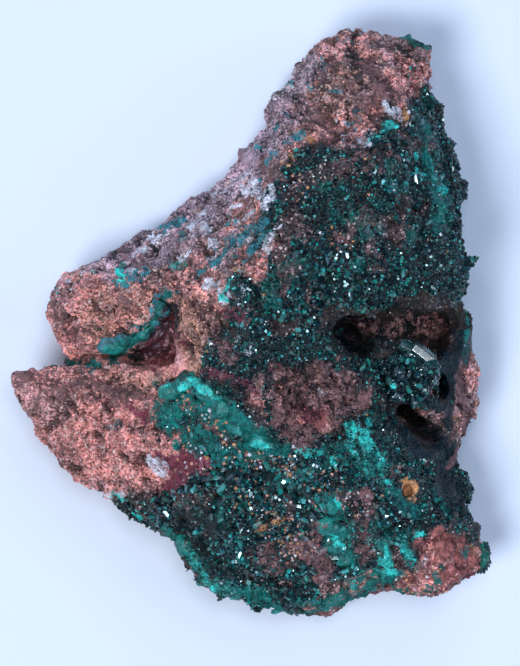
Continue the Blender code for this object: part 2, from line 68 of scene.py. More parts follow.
MM = 0.001
DOUBLES = 1e-6
FOOT = CAD_BOX[0].z / MM
ROOT = "root"
ROCK_SLOT = "iron_stained_rock"
DIOPTASE_SLOT = "dioptase"
BLUE_SLOT = "chrysocolla"

# Stains, growths and painted shade on the specimen, as strokes: half-width in millimetres, strength from 0 to 1, then
# the x and y, in millimetres from the middle, of each point on the line that the stroke follows.
PATCHES = {
    "bare": (
        (1.7, 1, 25.1, -28, 25.9, -29.1), (1.5, 1, 26.9, -36.9, 27.8, -37.1),
        (3.4, 0.8, 6.6, -10.1, 9.1, -12.6, 14.9, -11.8), (2, 0.8, 5, -16, 7.4, -18.5),
        (1.5, 0.9, 11.1, -15.2, 12.4, -16), (2.4, 0.7, -11.1, -33.3, -8.5, -32.2, -7.7, -35.3),
        (1.2, 0.8, -13.6, -31.9, -12.3, -33.4), (2.2, 1, 15.3, -0.2, 16.5, -3.6),
        (1.3, 1, -15.8, -35.7, -13.6, -37.7, -11.4, -40.9, -9, -43.7, -6.6, -46.5),
    ),
    "blue": (
        (0.5, 1, -11, 7.3, -8.4, 9, -5.5, 11.4, -3.5, 13.3), (1, 1, -3.2, 13.6, -1.5, 15.1, 1.1, 16.8),
        (0.5, 0.7, -4.3, 10.4, -1.8, 12.2, 0.6, 13), (0.9, 1, -16, 15.9, -14.2, 16.9, -12.7, 18.1),
        (0.5, 0.9, -12.8, 15.5, -12.1, 14.2), (0.6, 0.9, -21, 7.2, -19.6, 7.6, -18.3, 9.1), (0.8, 1, 3.7, 32.8),
        (0.8, 1, 5.3, 30.5, 6.5, 31, 7.5, 31.6), (0.5, 0.9, -0.2, 29.5, 1.6, 29.5), (0.5, 0.9, 2.5, 28.8, 3.8, 28.7),
        (0.4, 0.9, 1.5, 26.7, 2.6, 28), (0.5, 0.9, 7, 40.6, 7.3, 41), (0.5, 0.6, 13.1, 40, 13.7, 39.5),
        (0.4, 0.9, 0.6, 24.5, 1, 22), (0.8, 0.7, 14.7, 48.6, 16.3, 48.6),
        (1.1, 0.85, -15.5, 5.4, -17.9, 1.8, -19.9, -1.5), (0.7, 0.7, -6.7, 12.3, -4.2, 14.3, -1.2, 16.2),
        (0.7, 0.8, -2.2, 10.2, -0.5, 12.1, 1.1, 14.4), (0.5, 0.8, -4.6, 16.4, -2.9, 17.6),
        (0.4, 0.8, 14.4, 48.6, 16.1, 48.4), (0.5, 0.7, 14.1, 48.8, 16.5, 48.2), (0.5, 0.8, 12.6, 39.7, 13.8, 38.8),
        (0.5, 0.8, -16, 4.7, -13.3, 5.3), (0.8, 0.9, -23, 9.5, -20.8, 8.1, -18.6, 8.8),
        (0.6, 0.9, -23.3, 7.1, -21.1, 6.6), (0.6, 0.9, -14.4, 10.4, -13, 9.4),
    ),
    "brown": (
        (2, 0.9, 7.5, -37.1, 10.1, -38.9, 11.3, -41.7), (1.5, 0.8, 18.5, -28.7, 19.2, -30.8),
        (1.2, 0.8, 18.3, -37.7, 19, -39.1), (1.3, 0.7, 10.6, -34.3, 8.9, -36.3), (1.2, 0.6, 17.5, -32.8, 17.9, -35.4),
        (2.4, 0.42, 14.8, 27, 19.3, 27.4, 22, 26.2), (1.3, 0.5, 13.6, 14.4, 14.8, 13.3),
        (1, 1, 36.7, -8.8, 37.1, -12.9, 36.5, -18.2, 34.6, -23.5), (0.8, 0.9, 32.9, -19.2, 34, -18.2),
        (1.2, 1, 14.2, -48.2, 19, -46.6, 23.9, -45.1), (1, 0.9, 7.7, -49.2, 12, -48.7),
        (1.5, 0.5, 1.1, -37.8, 3.3, -41), (1.3, 0.5, -10, -14.7, -4.2, -19.3),
        (4, 0.75, 5.8, -11, 11.6, -10.2, 15.8, -11.8), (2.7, 0.8, 5, -16, 7.4, -18.5),
        (2.4, 0.6, 12.4, -14.3, 14.9, -15.2), (1.3, 0.9, 36.1, -9.2, 36.7, -12.9, 36.1, -18.2),
        (1.8, 0.6, -38.9, -10.3, -33.3, -10.7, -26.3, -11.5, -19.4, -12.5), (1.3, 0.5, -23.2, 11.8, -17.9, 10.5),
        (1.5, 0.5, -5.1, 18.3, -2.6, 20), (1.5, 0.5, -12.1, 21.3, -9.5, 22.6),
        (1.2, 0.8, -11.7, -13.6, -9.2, -15.2, -6.9, -16.7), (1.5, 0.8, 18.6, 44.1, 20.6, 40.9, 22.2, 37.7),
        (2.4, 0.55, 12.6, 41.9, 15, 38.2, 18.8, 34.8), (1.3, 0.6, 10.5, 35.8, 12.1, 31),
        (1.2, 0.75, -33.2, -9.9, -28, -10.8, -22, -11.5, -17.7, -12.5), (1.5, 0.7, -10.9, 10.3, -8.3, 7.3, -5.5, 3.9),
        (1.2, 0.6, -22.8, 4, -20.3, 2), (1.7, 0.6, -34.9, 4.1, -31.7, -1, -28.3, -3.6),
        (1.7, 0.6, -9.2, 3.1, -6.6, -1, -4.5, -4.7), (1.3, 0.6, 1.1, 27.6, 3.3, 24.3),
        (1, 0.7, -3.8, 12.2, -0.8, 10.1),
    ),
    "coarse": (
        (6, 1, -1.9, -25, 2.1, -27, 7.1, -30), (5, 0.9, -11.9, -27, -9.9, -31), (5, 0.9, 9.1, -32, 11.1, -42),
        (5, 0.8, -0.9, -44, 5.1, -44), (4, 0.5, 21.1, -30, 25.1, -36), (3.7, 0.8, -2.5, -24.3, 1.6, -26, -0.9, -29.3),
        (2.5, 0.7, -15.3, -32.4, -11, -31.7), (2.4, 0.7, -5.6, -34.8, -1.7, -40, 1.1, -45.2),
        (5, 0.5, 5.7, 5.5, 12.3, 7.2, 17.3, 3.9),
    ),
    "coral": (
        (2, 1, 31.2, -36.6, 33.9, -37.5, 35.9, -39), (1.3, 0.95, 28.7, -41, 30.4, -39.9),
        (1.7, 0.9, 31.3, -42, 33.9, -41.1), (1.5, 0.95, 23.7, -42.4, 25.9, -42.3),
        (1.2, 0.8, 8.6, -17.7, 10.5, -16.7, 12.1, -15.5), (0.8, 0.6, 5.4, -14, 7.4, -13),
        (1, 0.8, 27.1, -36.4, 27.8, -37.5),
    ),
    "crust": (
        (2.5, 1, 13.3, 2.9, 19.8, 4.3, 25.8, 5.1, 30.8, 6, 33.7, 5.3), (1.3, 1, 13, 0.9, 14.8, -3.6, 17.1, -5.7),
        (1.3, 0.9, 35.1, 4.1, 35.7, -1), (1, 0.8, 19.5, -7.4, 20.8, -11.8, 23.7, -15),
        (1.5, 0.9, 30.2, -6.4, 31.7, -10.4, 33, -12.9), (2, 1, 8.2, -4, 13.2, -5, 16.8, -6.4, 19.5, -8),
        (1.7, 1, 16.1, -5.4, 19.7, -4.4, 22.2, -3.5), (1.5, 1, 31.1, -4.4, 32.9, -6.4, 33.3, -9.5),
        (1.2, 0.7, 2.5, -8, 2.1, -12.6, 3.8, -17.6), (1.3, 0.9, 35, -4.8, 34.4, -8.7, 34, -12),
        (1.3, 0.9, 25.1, -12.8, 29.4, -13.1, 32.1, -13.2), (1.7, 0.9, 20.8, -14.4, 22.9, -17, 25.1, -19.5),
        (1.3, 1, 12.7, 3.4, 17.3, 2.9, 24.6, 3), (1.2, 1, 35.4, 4.1, 35.7, -0.2, 36.5, -4.4),
        (1.5, 0.9, 17.8, -6.4, 21.7, -7.4, 22.1, -11.8),
    ),
    # Near-black crust in places; on the hollow's floor and across the druse's middle these strokes are painted shade.
    "dark": (
        (1.2, 0.55, 19, 43.9, 20.9, 41.3, 22.5, 37.9), (0.7, 0.9, -18, 13.3, -16.7, 11.9),
        (0.7, 0.5, -23.2, 6.3, -22.5, 5.7), (1.2, 0.55, -38.5, -9.2, -35, -8.5, -33.3, -7.6),
        (0.8, 0.6, -32.9, -6.9, -29.4, -6.2, -26.4, -7.5), (2, 0.9, -11.5, -33.7, -8.8, -31.7, -7.3, -34.9),
        (1, 0.9, -12.9, -31.5, -12.1, -33.4), (0.5, 0.9, -14, -24.4, -12, -23.8),
        (2, 0.8, -15.2, -17.8, -11.8, -18.8, -8.7, -20.7), (1.7, 0.5, 5.7, -1, 7.4, -4.3),
        (1.3, 0.4, 0.8, -11.8, 1.6, -14.3), (2.4, 0.7, 31.3, -22.2, 34.1, -26.5, 36.7, -32.6),
        (0.5, 0.8, -3.2, 0.9, -1.5, -1), (0.5, 0.6, -10.7, -4.7, -10.4, -6),
        (1.3, 0.5, -23.2, -12, -17.7, -11.5, -13.4, -12.4), (1.3, 0.35, -35, -9.5, -28, -10.2, -21.1, -10.8),
        (2, 0.9, 14.1, 0.3, 16.2, -2.7, 19.7, -4.1, 23.3, -2.4, 26.4, -0.2), (1.5, 0.7, 13.6, -1, 15.1, -4),
        (3.4, 0.45, 28.1, 0.7, 33.1, -1.9), (1, 0.9, 31.3, -5.3, 33.3, -4.4, 35, -4.8),
        (1.2, 0.8, 21.6, -13.5, 25.6, -15, 27.8, -17.3), (1.2, 0.7, 30.3, -9, 31.8, -11.6),
        (1, 0.8, -14.7, -19.5, -10.9, -20.4, -8.4, -21.4), (0.8, 0.7, -8.3, -12, -5.5, -14.6),
        (2, 0.62, 26.7, 2.7, 31.5, 2.4, 34.4, 1), (0.8, 0.8, 18.6, 43.7, 21.5, 38.7),
        (0.8, 0.85, 25.6, 49.1, 28.9, 47.4), (0.7, 0.8, 14.1, 48.8, 16.5, 48.4),
        (0.5, 0.6, -31.5, -9.2, -25.4, -10.2, -19.4, -10.8), (0.7, 0.7, -9.9, 9.3, -8.2, 7, -6.5, 4.6),
        (0.8, 0.7, -5.5, -1, -2.5, -4.3, 1.1, -6.3), (3.4, 0.5, -0.8, 8.8, 1.1, 2.3, 4.9, -3.5),
        (2.2, 0.5, 7.4, 27.1, 11, 19.5), (1.7, 0.5, -0.9, -9.3, 1.1, -12.6), (2, 0.5, 12.3, 12.1, 15.6, 6.4),
        (2, 0.5, -6.8, -33.1, -2.6, -37.3), (1.3, 0.6, 16.2, -32.8, 17.3, -37.2),
        (1.5, 0.55, -13, -29.3, -10.7, -33.3), (1.5, 0.5, 29.5, -28, 32.8, -33), (0.7, 0.6, 31.7, -44.7, 33.4, -41.7),
        (0.5, 0.7, 36.6, -38.2, 37.7, -40.7), (0.7, 0.7, -13.3, 7.7, -11.5, 6.5),
        (1.7, 1, 21.7, -3.5, 19.3, -4.7, 16.5, -3.6),
        (1.2, 0.85, -13.5, -33.7, -10.8, -38.3, -7.4, -42.3, -2.6, -45.4), (1, 0.8, -1.8, -45.8, 3.4, -47, 7.7, -48),
        (1.3, 0.7, -8.6, -36.7, -5.2, -40.2),
        (1, 0.7, 27.7, -33, 30.4, -34.7), (1.7, 0.75, -18.8, -4.8, -16.4, -3.1, -14.5, 1),
        (1.3, 0.5, -21.9, -5.8, -18.1, -5.1, -14.3, -4.5), (0.9, 1, 17, 45.6, 19.6, 42, 21.5, 38, 22.5, 35.7),
        (0.8, 1, 25.6, 48.8, 29.4, 47.1), (2, 1, -20.2, -5.1, -17.1, -3.8, -14.9, -1.4, -14.3, 2),
        (0.4, 1, 13.4, -14.5, 13.9, -15), (0.5, 1, 4.8, -11.6, 5.3, -12.1),
        (0.4, 1, 7.6, -17.3, 7.1, -18.6), (0.4, 1, 9.1, -10.1, 9.8, -10.6), (0.4, 1, 11.4, -12.3, 12.1, -12.7),
        (0.4, 1, 15.8, -11.3, 16.3, -11.8), (0.4, 1, 3.3, -13.9, 3.8, -14.4), (0.4, 1, 10.4, -15.7, 10.9, -16),
        (2.2, 0.85, 15.3, 0.4, 18.7, -1.7, 22.6, -2.7), (1.8, 0.7, 25.5, 1.7, 30.9, 1, 34.7, 0),
        (1.5, 0.7, 24.3, -13.6, 27.5, -16.1, 30.1, -18.7),
    ),
    "fresh": (
        (1.7, 1, -5, -13.9, -2.8, -16.3, -0.9, -18.3), (1.5, 1, 1.1, -18.6, 4.3, -21.5),
        (1.3, 0.9, -16, -10.1, -14.2, -11.4), (2, 0.9, 13.1, -29.4, 14.2, -32.8, 13.9, -36.3, 15.1, -39.8),
        (1.5, 0.8, 21, -37.7, 22.4, -40.8), (1.3, 0.8, 24.3, -36.8, 26.3, -39.5),
        (1.7, 0.8, 31.4, 27.6, 32, 22.6, 30.9, 18.2), (1.2, 0.7, -11.2, -40.4, -8.6, -43.9, -5.7, -46.6),
        (2.4, 0.6, 15.8, -21, 19.5, -23.6), (2, 0.7, 28.7, 37, 29.8, 32.7), (1.3, 0.8, -12.4, -31.1, -10.7, -31.7),
        (1, 0.8, 15.3, -44, 18.8, -42.5), (1.5, 0.6, 13.2, 21.2, 14.8, 20.4),
        (2.4, 0.7, -13.4, -12.4, -6.7, -13.3, -3.2, -16.1, -0.5, -18.6),
        (0.8, 0.9, -15.8, -35.7, -13.6, -37.7, -11.4, -40.9, -9, -43.7, -6.6, -46.5),
        (1, 0.9, 28.1, 35.7, 29.5, 33.6), (0.8, 0.9, 29.7, 29.2, 30.4, 26.7), (1.2, 0.9, 31, 24.5, 32.2, 22.3),
        (0.7, 0.8, 32.3, 19.1, 32, 16.6), (0.8, 0.8, 24.3, 15.5, 26.4, 13.8), (0.8, 0.7, 19.8, 20.4, 21.3, 19.1),
        (0.7, 0.8, 2.1, 3.9, 3.1, 2.9), (0.8, 0.7, 7.3, 10.1, 9.8, 9.1), (0.7, 0.7, 15.9, 10.1, 17.6, 8.8),
        (0.8, 0.8, 11.5, 17.9, 12.6, 16.7), (2, 0.7, 12.3, 22, 15.6, 17.9, 19.2, 15.4), (1.7, 0.6, 2.4, 5.5, 5.7, 8),
        (1.7, 0.6, 22.3, 25.5, 24.8, 20.5), (1.5, 0.6, -8.4, -29.6, -5.6, -33), (1.7, 0.6, 7.5, -26, 10.7, -24.2),
        (1.5, 0.55, 17.6, -36.3, 20.9, -34.5),
    ),
    "lilac": (
        (3.7, 1, -24.8, 10.6, -16.3, 14.3, -8.6, 19.8, -0.9, 26.9, 4.2, 35.8, 7.7, 43.2),
        (1.7, 0.4, -33.5, 5.8, -32.7, 0.7), (2.4, 0.4, -38.6, -10.9, -33.4, -14.7),
        (1.3, 1, -18.5, -4.5, -16.3, -2, -15.2, 0.3),
    ),
    "maroon": (
        (1.3, 1, -14.2, -23.2, -11.3, -22.7, -8.7, -23.5), (1.3, 0.9, -14.8, -27.4, -11.9, -25.8),
        (1, 0.7, -20.3, -14.7, -18.1, -16.2), (1.5, 0.7, 7.5, -16.9, 10.4, -15.2), (1.7, 0.5, 12.4, -9.3, 14.9, -12),
        (1.5, 0.4, -22.9, -12, -19.4, -14.5), (1, 0.5, -15.1, -10.2, -11.7, -11.4),
        (1.3, 0.9, 8.8, -15.7, 11.1, -14.5), (1, 0.8, 26.9, -36.4, 28, -37.5), (1.7, 0.6, 4.1, -8.5, 6.1, -10.2),
        (2.7, 0.5, -17.9, -1.9, -15.6, -5.3, -13.8, -3.6), (1.3, 0.5, -8.3, 3.1, -2.5, 0.6),
        (1.7, 0.45, -26.3, -11.5, -21.1, -12.5), (1, 0.6, -8.3, -8, -3.3, -9.3, 0, -11.3),
        (1.5, 0.8, -16.1, -23, -13.3, -24.6, -10.6, -24.2), (1, 0.7, -9.9, -23.1, -8.6, -24.5),
        (1.3, 0.7, 33, -41.7, 35.2, -40.1, 36.8, -43), (0.7, 0.55, -33.3, -11.6, -25.4, -12.5, -19.4, -13.2),
        (1.2, 0.6, 7.4, -14.3, 10.8, -16.8, 7.4, -18), (0.8, 0.55, 14.1, -10.2, 16.1, -12.7),
        (1.5, 0.45, -18.8, -4.5, -16, -2.4, -14.5, 0.7), (1.5, 0.5, 5.8, -12.6, 9.9, -11.8, 14.9, -12.7),
        (0.8, 0.8, 6.8, -14.7, 9.4, -14, 8.5, -16.3), (0.7, 0.8, 12.4, -10.3, 14.1, -11.3),
    ),
    "pale": (
        (0.9, 1, -8.2, 6.4, -6.5, 6.3, -5.1, 4.4), (0.5, 0.9, -20.7, 12, -18.7, 12.6),
        (0.7, 0.7, -22, 8.8, -21.2, 9.5), (0.7, 1, 21.2, 36.9, 21.8, 35.3), (0.5, 0.8, 22.8, 34.4, 24.9, 34.2),
        (1.8, 0.59, 16.1, 30.9, 17.8, 30.5), (1.2, 0.42, 14.1, 33.7, 16.1, 33), (1, 0.7, -2.1, 22.7, -0.5, 22.1),
        (0.8, 0.6, -8.7, 10.3, -4.9, 14, -0.9, 16.9), (2, 0.5, -30.5, 6.6, -27.5, 10.6),
        (1.3, 0.8, -17.5, -23.4, -15.8, -24.5), (0.8, 0.5, -2.5, -2.7, -1.2, -4.3),
        (1.3, 0.5, 8.4, -10.6, 10.4, -11.3), (2, 0.35, 7.6, 38.1, 11, 44.8), (0.5, 0.6, -10.9, -12.4, -8.2, -13.3),
        (0.5, 0.7, -7.2, 9.3, -4.2, 12.3, -1.2, 14.5), (0.7, 0.6, 0, 20.6, 1.1, 22.4), (1, 0.8, 1.1, 19.6, 2.5, 22.1),
        (0.8, 0.75, -4.6, 18.8, -2.6, 20), (1, 0.35, 16.1, 32.6, 18.4, 30.5, 15.8, 29.5),
        (0.8, 0.8, 21.5, 36, 22.8, 34.4, 23.9, 35.4), (0.8, 0.6, -3.2, 17.1, -0.9, 18.3),
        (1.2, 0.85, 7.7, 45.3, 6.3, 41.8, 4.9, 38.4), (1, 0.6, -1.6, 26.4, -4, 24.2, -6.4, 22),
        (0.8, 0.75, -8.5, 18.5, -11.1, 16.3), (1.2, 0.7, 2.1, 13.8, 1.1, 11.3), (0.8, 0.6, -1.8, 6.2, -2.8, 3.9),
        (0.8, 0.5, -17.5, -23.4, -16.1, -25.4), (0.5, 0.8, -24.7, -28.9, -22.6, -29.9),
        (1.2, 0.75, -18, 14.4, -15.4, 15.7), (1, 0.75, -8.5, 16.7, -6.9, 14), (0.8, 0.75, -12.6, 10.4, -10.9, 12),
        (1, 0.7, -0.9, 24.2, 0.5, 22), (0.7, 0.8, 3.3, 15.8, 2.4, 13.8),
    ),
    "pink": (
        (9, 1, -33.9, -13, -25.9, -18, -15.9, -14), (5, 0.9, -20.9, -24, -15.9, -20), (7, 0.6, -33.9, 0, -24.9, 3),
        (5, 0.5, -18.9, -9, -10.9, -9), (4.4, 0.9, -30.7, 4.1, -27.3, -1, -22.8, 0.7),
        (3.4, 0.8, -26.7, -6.2, -33.5, -4.8), (2.4, 0.6, -17.7, 4, -22.9, 6.6),
        (1.7, 0.7, -33.4, 2.4, -29, 0.7, -24.7, -1), (1.3, 0.6, -11.9, 4, -11.6, -2.7),
    ),
    "plum": (
        (1.5, 0.9, -18.1, -4.5, -16, -2.4, -15.2, 0),
    ),
    "rust": (
        (0.5, 0.9, -18.1, 5.5), (0.5, 0.8, -3.1, 8.7), (1.5, 0.5, -27.9, -3.6), (0.6, 1, 8.5, 30.8, 9.3, 30.3),
        (1, 0.8, 24.6, 35.5, 25.7, 35.3), (1.5, 0.6, -0.5, 18.3, 1.1, 19.4), (0.8, 0.5, 5, 26.4, 6.1, 28.1),
        (0.8, 0.9, 3.5, -33.3, 4.3, -32.7), (0.8, 0.8, 0.8, -34.6, 2.3, -33.9), (0.7, 0.7, -15.1, -13.6),
        (1, 0.5, 12.3, 13.8, 14.3, 13.3), (0.8, 1, 34.2, -15.8, 35.3, -17.2), (0.8, 0.8, 25.1, -45.8, 26.9, -45.9),
        (1, 0.5, 36.1, -38.1, 38.1, -39), (0.7, 0.6, 31.1, 31), (1.2, 1, 26.2, -27.8, 26.5, -29.2),
        (0.8, 0.8, 25, -29.6, 25.6, -30), (0.8, 0.75, -11.6, -13.1, -9.9, -14, -8.4, -15.7),
        (0.7, 0.7, -7.2, -16.9, -5.5, -18.7), (1.7, 0.45, 2.5, -32.9, 5, -35.4, 7.5, -37.1),
        (1.3, 0.5, -3.9, -21.8, 1.1, -23, 5.8, -24.3), (0.8, 0.5, -33.5, 4.1, -31.5, 4.8),
        (1, 0.45, -26.3, 4.1, -22.8, 3), (1, 0.4, -6.6, 0.6, -4.1, -1.9),
        (1.3, 1, 25.7, -27, 26.1, -29.2), (0.5, 0.7, 24.1, -44.1, 28.9, -42.9), (0.3, 0.8, 0, 13.5, 1.1, 15.1),
    ),
    # A smooth skin beside the hollow; its navy is partly its own dark colour and partly painted shade of the right
    # flank.
    "slick": (
        (2.7, 1, 27.8, -19.6, 31.3, -21.7, 33.4, -24.8), (1.2, 1, 33.4, -10.4, 33.8, -13.7, 32.4, -17.1),
        (1.3, 0.8, 25.1, -18.1, 26.9, -19.6), (0.7, 1, 36.1, -0.2, 36.6, -3.6, 37.4, -7),
        (1.5, 0.7, -3.2, -15.9, -0.9, -18.3), (1.3, 0.8, 1.1, -19, 4.1, -21.3), (1.3, 0.7, 23.3, -30.2, 26.8, -31.9),
        (1, 0.8, 31.1, -29.3, 33.6, -32.5), (2.5, 1, 26.8, -17.3, 30.1, -19.7, 32.3, -23.4),
        (1.7, 1, 33.4, -24.8, 35.1, -29.9), (1.3, 0.9, 24.7, -13.8, 28.1, -18.1),
        (1.5, 0.8, 33.9, -10.3, 33.3, -14.6), (1.3, 0.7, 36.4, -1, 37, -4.4),
        (1.2, 0.9, 31.5, -3.6, 32.6, -6.9, 32.8, -11.3), (1.5, 0.8, 29.4, -13.1, 32.2, -14.5),
        (1.5, 1, 34.3, -1, 35, -4.8, 34.4, -9.5), (1.2, 1, 32.3, -4.7, 33.1, -9.5, 33.3, -13.2),
        (1.2, 0.8, 22.8, -12.7, 26.2, -13.1, 29.7, -13.5), (0.8, 0.8, 15.3, -2.7, 17.8, -4.1),
    ),
    "smooth": (
        (2.5, 1, -14.2, 1, -15.5, -2.7, -18.1, -4.8), (1.5, 1, -12.9, -4.7, -18.1, -6.5, -21.9, -5.5),
        (1.2, 0.8, -17.7, -7.9, -10.9, -8),
        (1.5, 1, -18.5, -4.5, -16.3, -2, -15.2, 0.3), (1.7, 1, 25.7, -27, 26.1, -29.2), (1.5, 1, -3, 30, -1.9, 28.4),
    ),
    "speck": (
        (1.7, 0.9, -11.6, -13.1, -8.4, -15.2, -5, -17.7), (1.8, 0.9, -3.9, -21.8, 1.1, -23.1, 6.1, -24),
        (2.4, 0.9, 2.1, -33.2, 5.8, -35.4, 7.5, -37.6), (2.7, 0.6, -2.5, -27.8, 1.1, -29.3),
        (2, 0.6, -10.9, -22, -6.7, -24.1), (2.4, 0.5, 10.8, -27.7, 12.5, -24.3), (1.7, 0.6, 15, -29.4, 18.9, -32),
        (2, 0.5, 24.5, -41.7, 29.6, -40.8), (1.5, 0.6, 22.8, 34.4, 25.7, 35.6), (1.5, 0.5, 12.3, 14.6, 14.8, 12.9),
        (1.7, 0.4, 5, 26.4, 7.4, 20.4),
    ),
    "tan": (
        (3.7, 1, -8.3, -1, -5, -3.5, -8.3, -6), (3.4, 0.5, -26.4, 0.7, -19.4, 4), (2.7, 0.6, 12.5, 38.4, 15.9, 40.8),
        (1.7, 0.6, -24.5, -10.3, -16, -9.9), (2, 0.6, -8.3, 3.1, -5, 0.6),
        (1, 0.8, -12.2, 4, -11.9, 0.6, -11.9, -3.5), (1.2, 0.8, 4.1, -10.1, 7.4, -8.5, 12.4, -9.3),
        (1, 0.7, 9.1, -17.7, 12.4, -19.3, 14.9, -14.3),
    ),
    "teal": (
        (1.2, 0.8, 25.7, 48.8, 28.6, 48.7), (0.7, 0.7, -34.2, -7.2, -31, -6.3, -26.7, -7.5),
        (1.5, 0.9, -6.7, -13.3, -3.2, -15.9, -0.9, -18.3), (1.2, 0.9, 1.1, -18.6, 4.3, -21.5),
        (0.5, 0.8, -14.1, -18.8, -13.1, -20.8), (1, 0.8, 7.6, -46.7, 12.8, -46.3, 18.1, -44),
        (0.8, 0.8, 13.3, -29.4, 14, -32), (1.3, 0.9, 12, -34.9, 14.4, -35.6), (1.2, 0.9, 13.7, -37.5, 15.3, -39.5),
        (1.3, 0.8, 21.6, -37.1, 22.4, -41.1, 20.5, -42.4), (0.8, 0.9, 24.5, -36.8, 26.2, -39.3),
        (1.5, 0.8, 23, -28.1, 24.7, -31, 27.7, -32.3), (1.5, 0.7, 29.4, 28.4, 31.1, 22.4, 31.9, 18.2),
        (1.5, 0.6, 28.3, 36.1, 29.9, 31), (1, 0.6, 30.9, -28, 33.1, -32.7),
        (2.4, 0.6, 11.6, -21.8, 15.8, -21, 20.8, -24.4), (0.8, 0.5, -3.3, -5, -1.7, -3.2),
        (0.5, 0.7, 35.7, -1, 36.8, -6.1), (0.7, 0.8, 35.2, -38.3), (0.8, 0.7, 28.7, -43.4, 29.9, -43.1),
        (0.8, 0.8, 25, -45.1, 26.9, -44), (0.6, 0.8, 31.4, -39.9), (1.4, 0.85, -21.3, -2.7, -23.4, -4.4, -24.6, -5.8),
        (1.8, 0.72, -16.3, -14.1, -12.3, -17.4, -8.4, -20.1), (1.7, 0.7, -11.8, -18.8, -5.5, -21, 1.1, -21.8),
        (1.5, 0.9, -13.9, -11.4, -9.2, -14.7, -3.8, -17.6), (1.2, 0.85, 1.1, -21.3, 5.1, -20.6),
        (0.6, 1, -16.2, -34.4, -13.8, -38.4, -10.3, -42.5, -7.3, -45.6, -2.6, -47.5),
        (0.7, 1, -2.6, -47.5, 2.5, -49.1, 7.7, -49.9), (0.7, 0.95, 7.7, -49.4, 12.8, -47.3, 18.9, -45.7, 24.5, -41.2),
        (0.4, 0.7, 35.6, 3.3, 36.5, -2.7, 37.2, -6.5),
        (0.5, 0.6, 29.9, -40.3, 31.3, -42),
        (0.8, 1, -24.9, -5.8, -22.4, -4.1, -19.9, -2.4, -17.8, -0.2, -16, 2.7, -14.6, 4.7),
        (0.6, 1, 25.7, 48.8, 29.2, 47), (0.7, 0.8, 30, 17, 30.8, 14.6), (0.7, 0.8, 30.4, 29.2, 31.2, 26.7),
    ),
    "turquoise": (
        (1.5, 0.6, 16.1, -18.7, 17.2, -17.3, 18.4, -16.7), (0.8, 0.54, 15.8, -19.8, 17.3, -21.9),
        (0.8, 0.54, 19.2, -22.6, 20.8, -22.1, 22.2, -21.4), (0.9, 0.6, 20.7, -23.7, 21.5, -25.1, 22.7, -27),
        (0.8, 0.9, 8.8, -21.3, 10.4, -21.4), (0.7, 0.7, 12.8, -22.5, 13.8, -23.7), (1, 0.9, 21.7, -38.2, 21.9, -40.3),
        (0.6, 0.9, 16.3, -43.8, 16.6, -44), (0.5, 0.8, 10.2, -44.3, 10.7, -44.4), (0.5, 1, 23.1, -10.7),
        (0.4, 0.9, 2.3, -2.2), (0.8, 1, 0.3, -20.5, 1.1, -20.8), (0.6, 0.9, 21.8, 33.9, 23.6, 32.8),
        (0.5, 0.8, 19.3, 30.7, 21.3, 32.1), (0.6, 1, -22.9, 9.7, -22.2, 6.9), (0.3, 0.9, -26.6, 8),
        (0.7, 0.8, -13.7, 9.6, -12.6, 9.9), (0.5, 0.9, -5.5, 3.9, -4.6, 3.8), (0.6, 0.7, 3.4, 19.2, 3.9, 18.2),
        (0.5, 0.8, -2, 8.8, -1.5, 8.3), (0.5, 0.8, -23.8, -28.5, -22.6, -30.3),
        (0.6, 0.7, -21.2, -32.3, -19.3, -33.7), (0.5, 0.8, 27.5, 28.3, 27.8, 28.1), (0.7, 0.9, 27.6, 25.7, 28.7, 25),
        (0.9, 0.9, 31.5, 23, 32.2, 22.6), (0.8, 0.5, 24.9, -30.7, 26.7, -31.9), (0.7, 0.8, 26.3, -35.5, 27.7, -35.5),
        (0.5, 0.7, 35.2, -42.5), (0.8, 0.95, -10.2, -10.3, -8.5, -11, -7, -12), (0.5, 0.6, -12.9, -10, -10.9, -9.4),
        (0.4, 0.6, -15.4, -10.7, -14.2, -10.1), (0.7, 0.9, -0.2, -20.3, 1.3, -20.8),
        (0.5, 0.8, 13.6, -29.4, 13.8, -30.8), (0.7, 0.8, 13.4, -37.2, 14.3, -37.8),
        (0.3, 0.7, -12.1, -39.7, -9.5, -42.8, -6.8, -46), (0.8, 0.9, -12.5, -10.4, -10, -10, -7.8, -11.3),
        (0.7, 0.95, 0.1, -20, 1.8, -20.6), (0.5, 0.75, -11.9, -40.8, -9.5, -43.5, -7.4, -45.6),
        (1.2, 0.95, 15.4, -17, 17.1, -18, 18.8, -19.7), (1, 0.33, 19.5, -20.4, 22.2, -23.1, 23.2, -26.8),
        (0.8, 0.51, 21.2, -24.4, 22.5, -27.8), (0.8, 0.9, 20.7, -39.8, 22.7, -40.8, 21.7, -38.4),
        (0.8, 0.85, 25.2, -37.7, 26.4, -39.1), (0.7, 0.9, 12.9, -35.6, 14.6, -37.3),
        (0.7, 0.8, 6.8, -21.3, 9.4, -21.9), (0.5, 0.9, -24, -28.9, -22.9, -29.6), (0.5, 0.8, -22.7, 10.6, -22, 9.2),
        (0.4, 0.9, -5.6, 3.8, -4.8, 5.6, -3.8, 7.5), (0.4, 0.6, 30.7, 26.2, 31.3, 23.1),
    ),
    # Painted shade: dark brown laid on the walls of the hollows, in the channel, in the vug's pits and in crevices.
    "umber": (
        (2, 0.95, 26, 2.9, 31.5, 2.4, 35, 1.4), (1.5, 1, 13, 0.9, 15.4, -1.7, 18.6, -3.7, 21.7, -4),
        (1.2, 0.9, 21.6, -12.7, 25.1, -14.7, 27.5, -17.4, 28.7, -19.7), (1.2, 0.9, 30.1, -4.8, 30.2, -8, 31.8, -12.6),
        (1.3, 0.9, 26.1, -2.7, 28.9, -3.4, 33.3, -3.7), (0.8, 0.8, -8.3, 3.9, -5.8, 0.9, -3.2, -2.4),
        (0.7, 0.7, -10, -8, -5, -9.6, -1.7, -11.8), (0.8, 0.75, 5.8, -10.1, 7.8, -12.3),
        (0.7, 0.75, 11.1, -8, 13.1, -10), (0.7, 0.7, 15.4, -12, 16.8, -14),
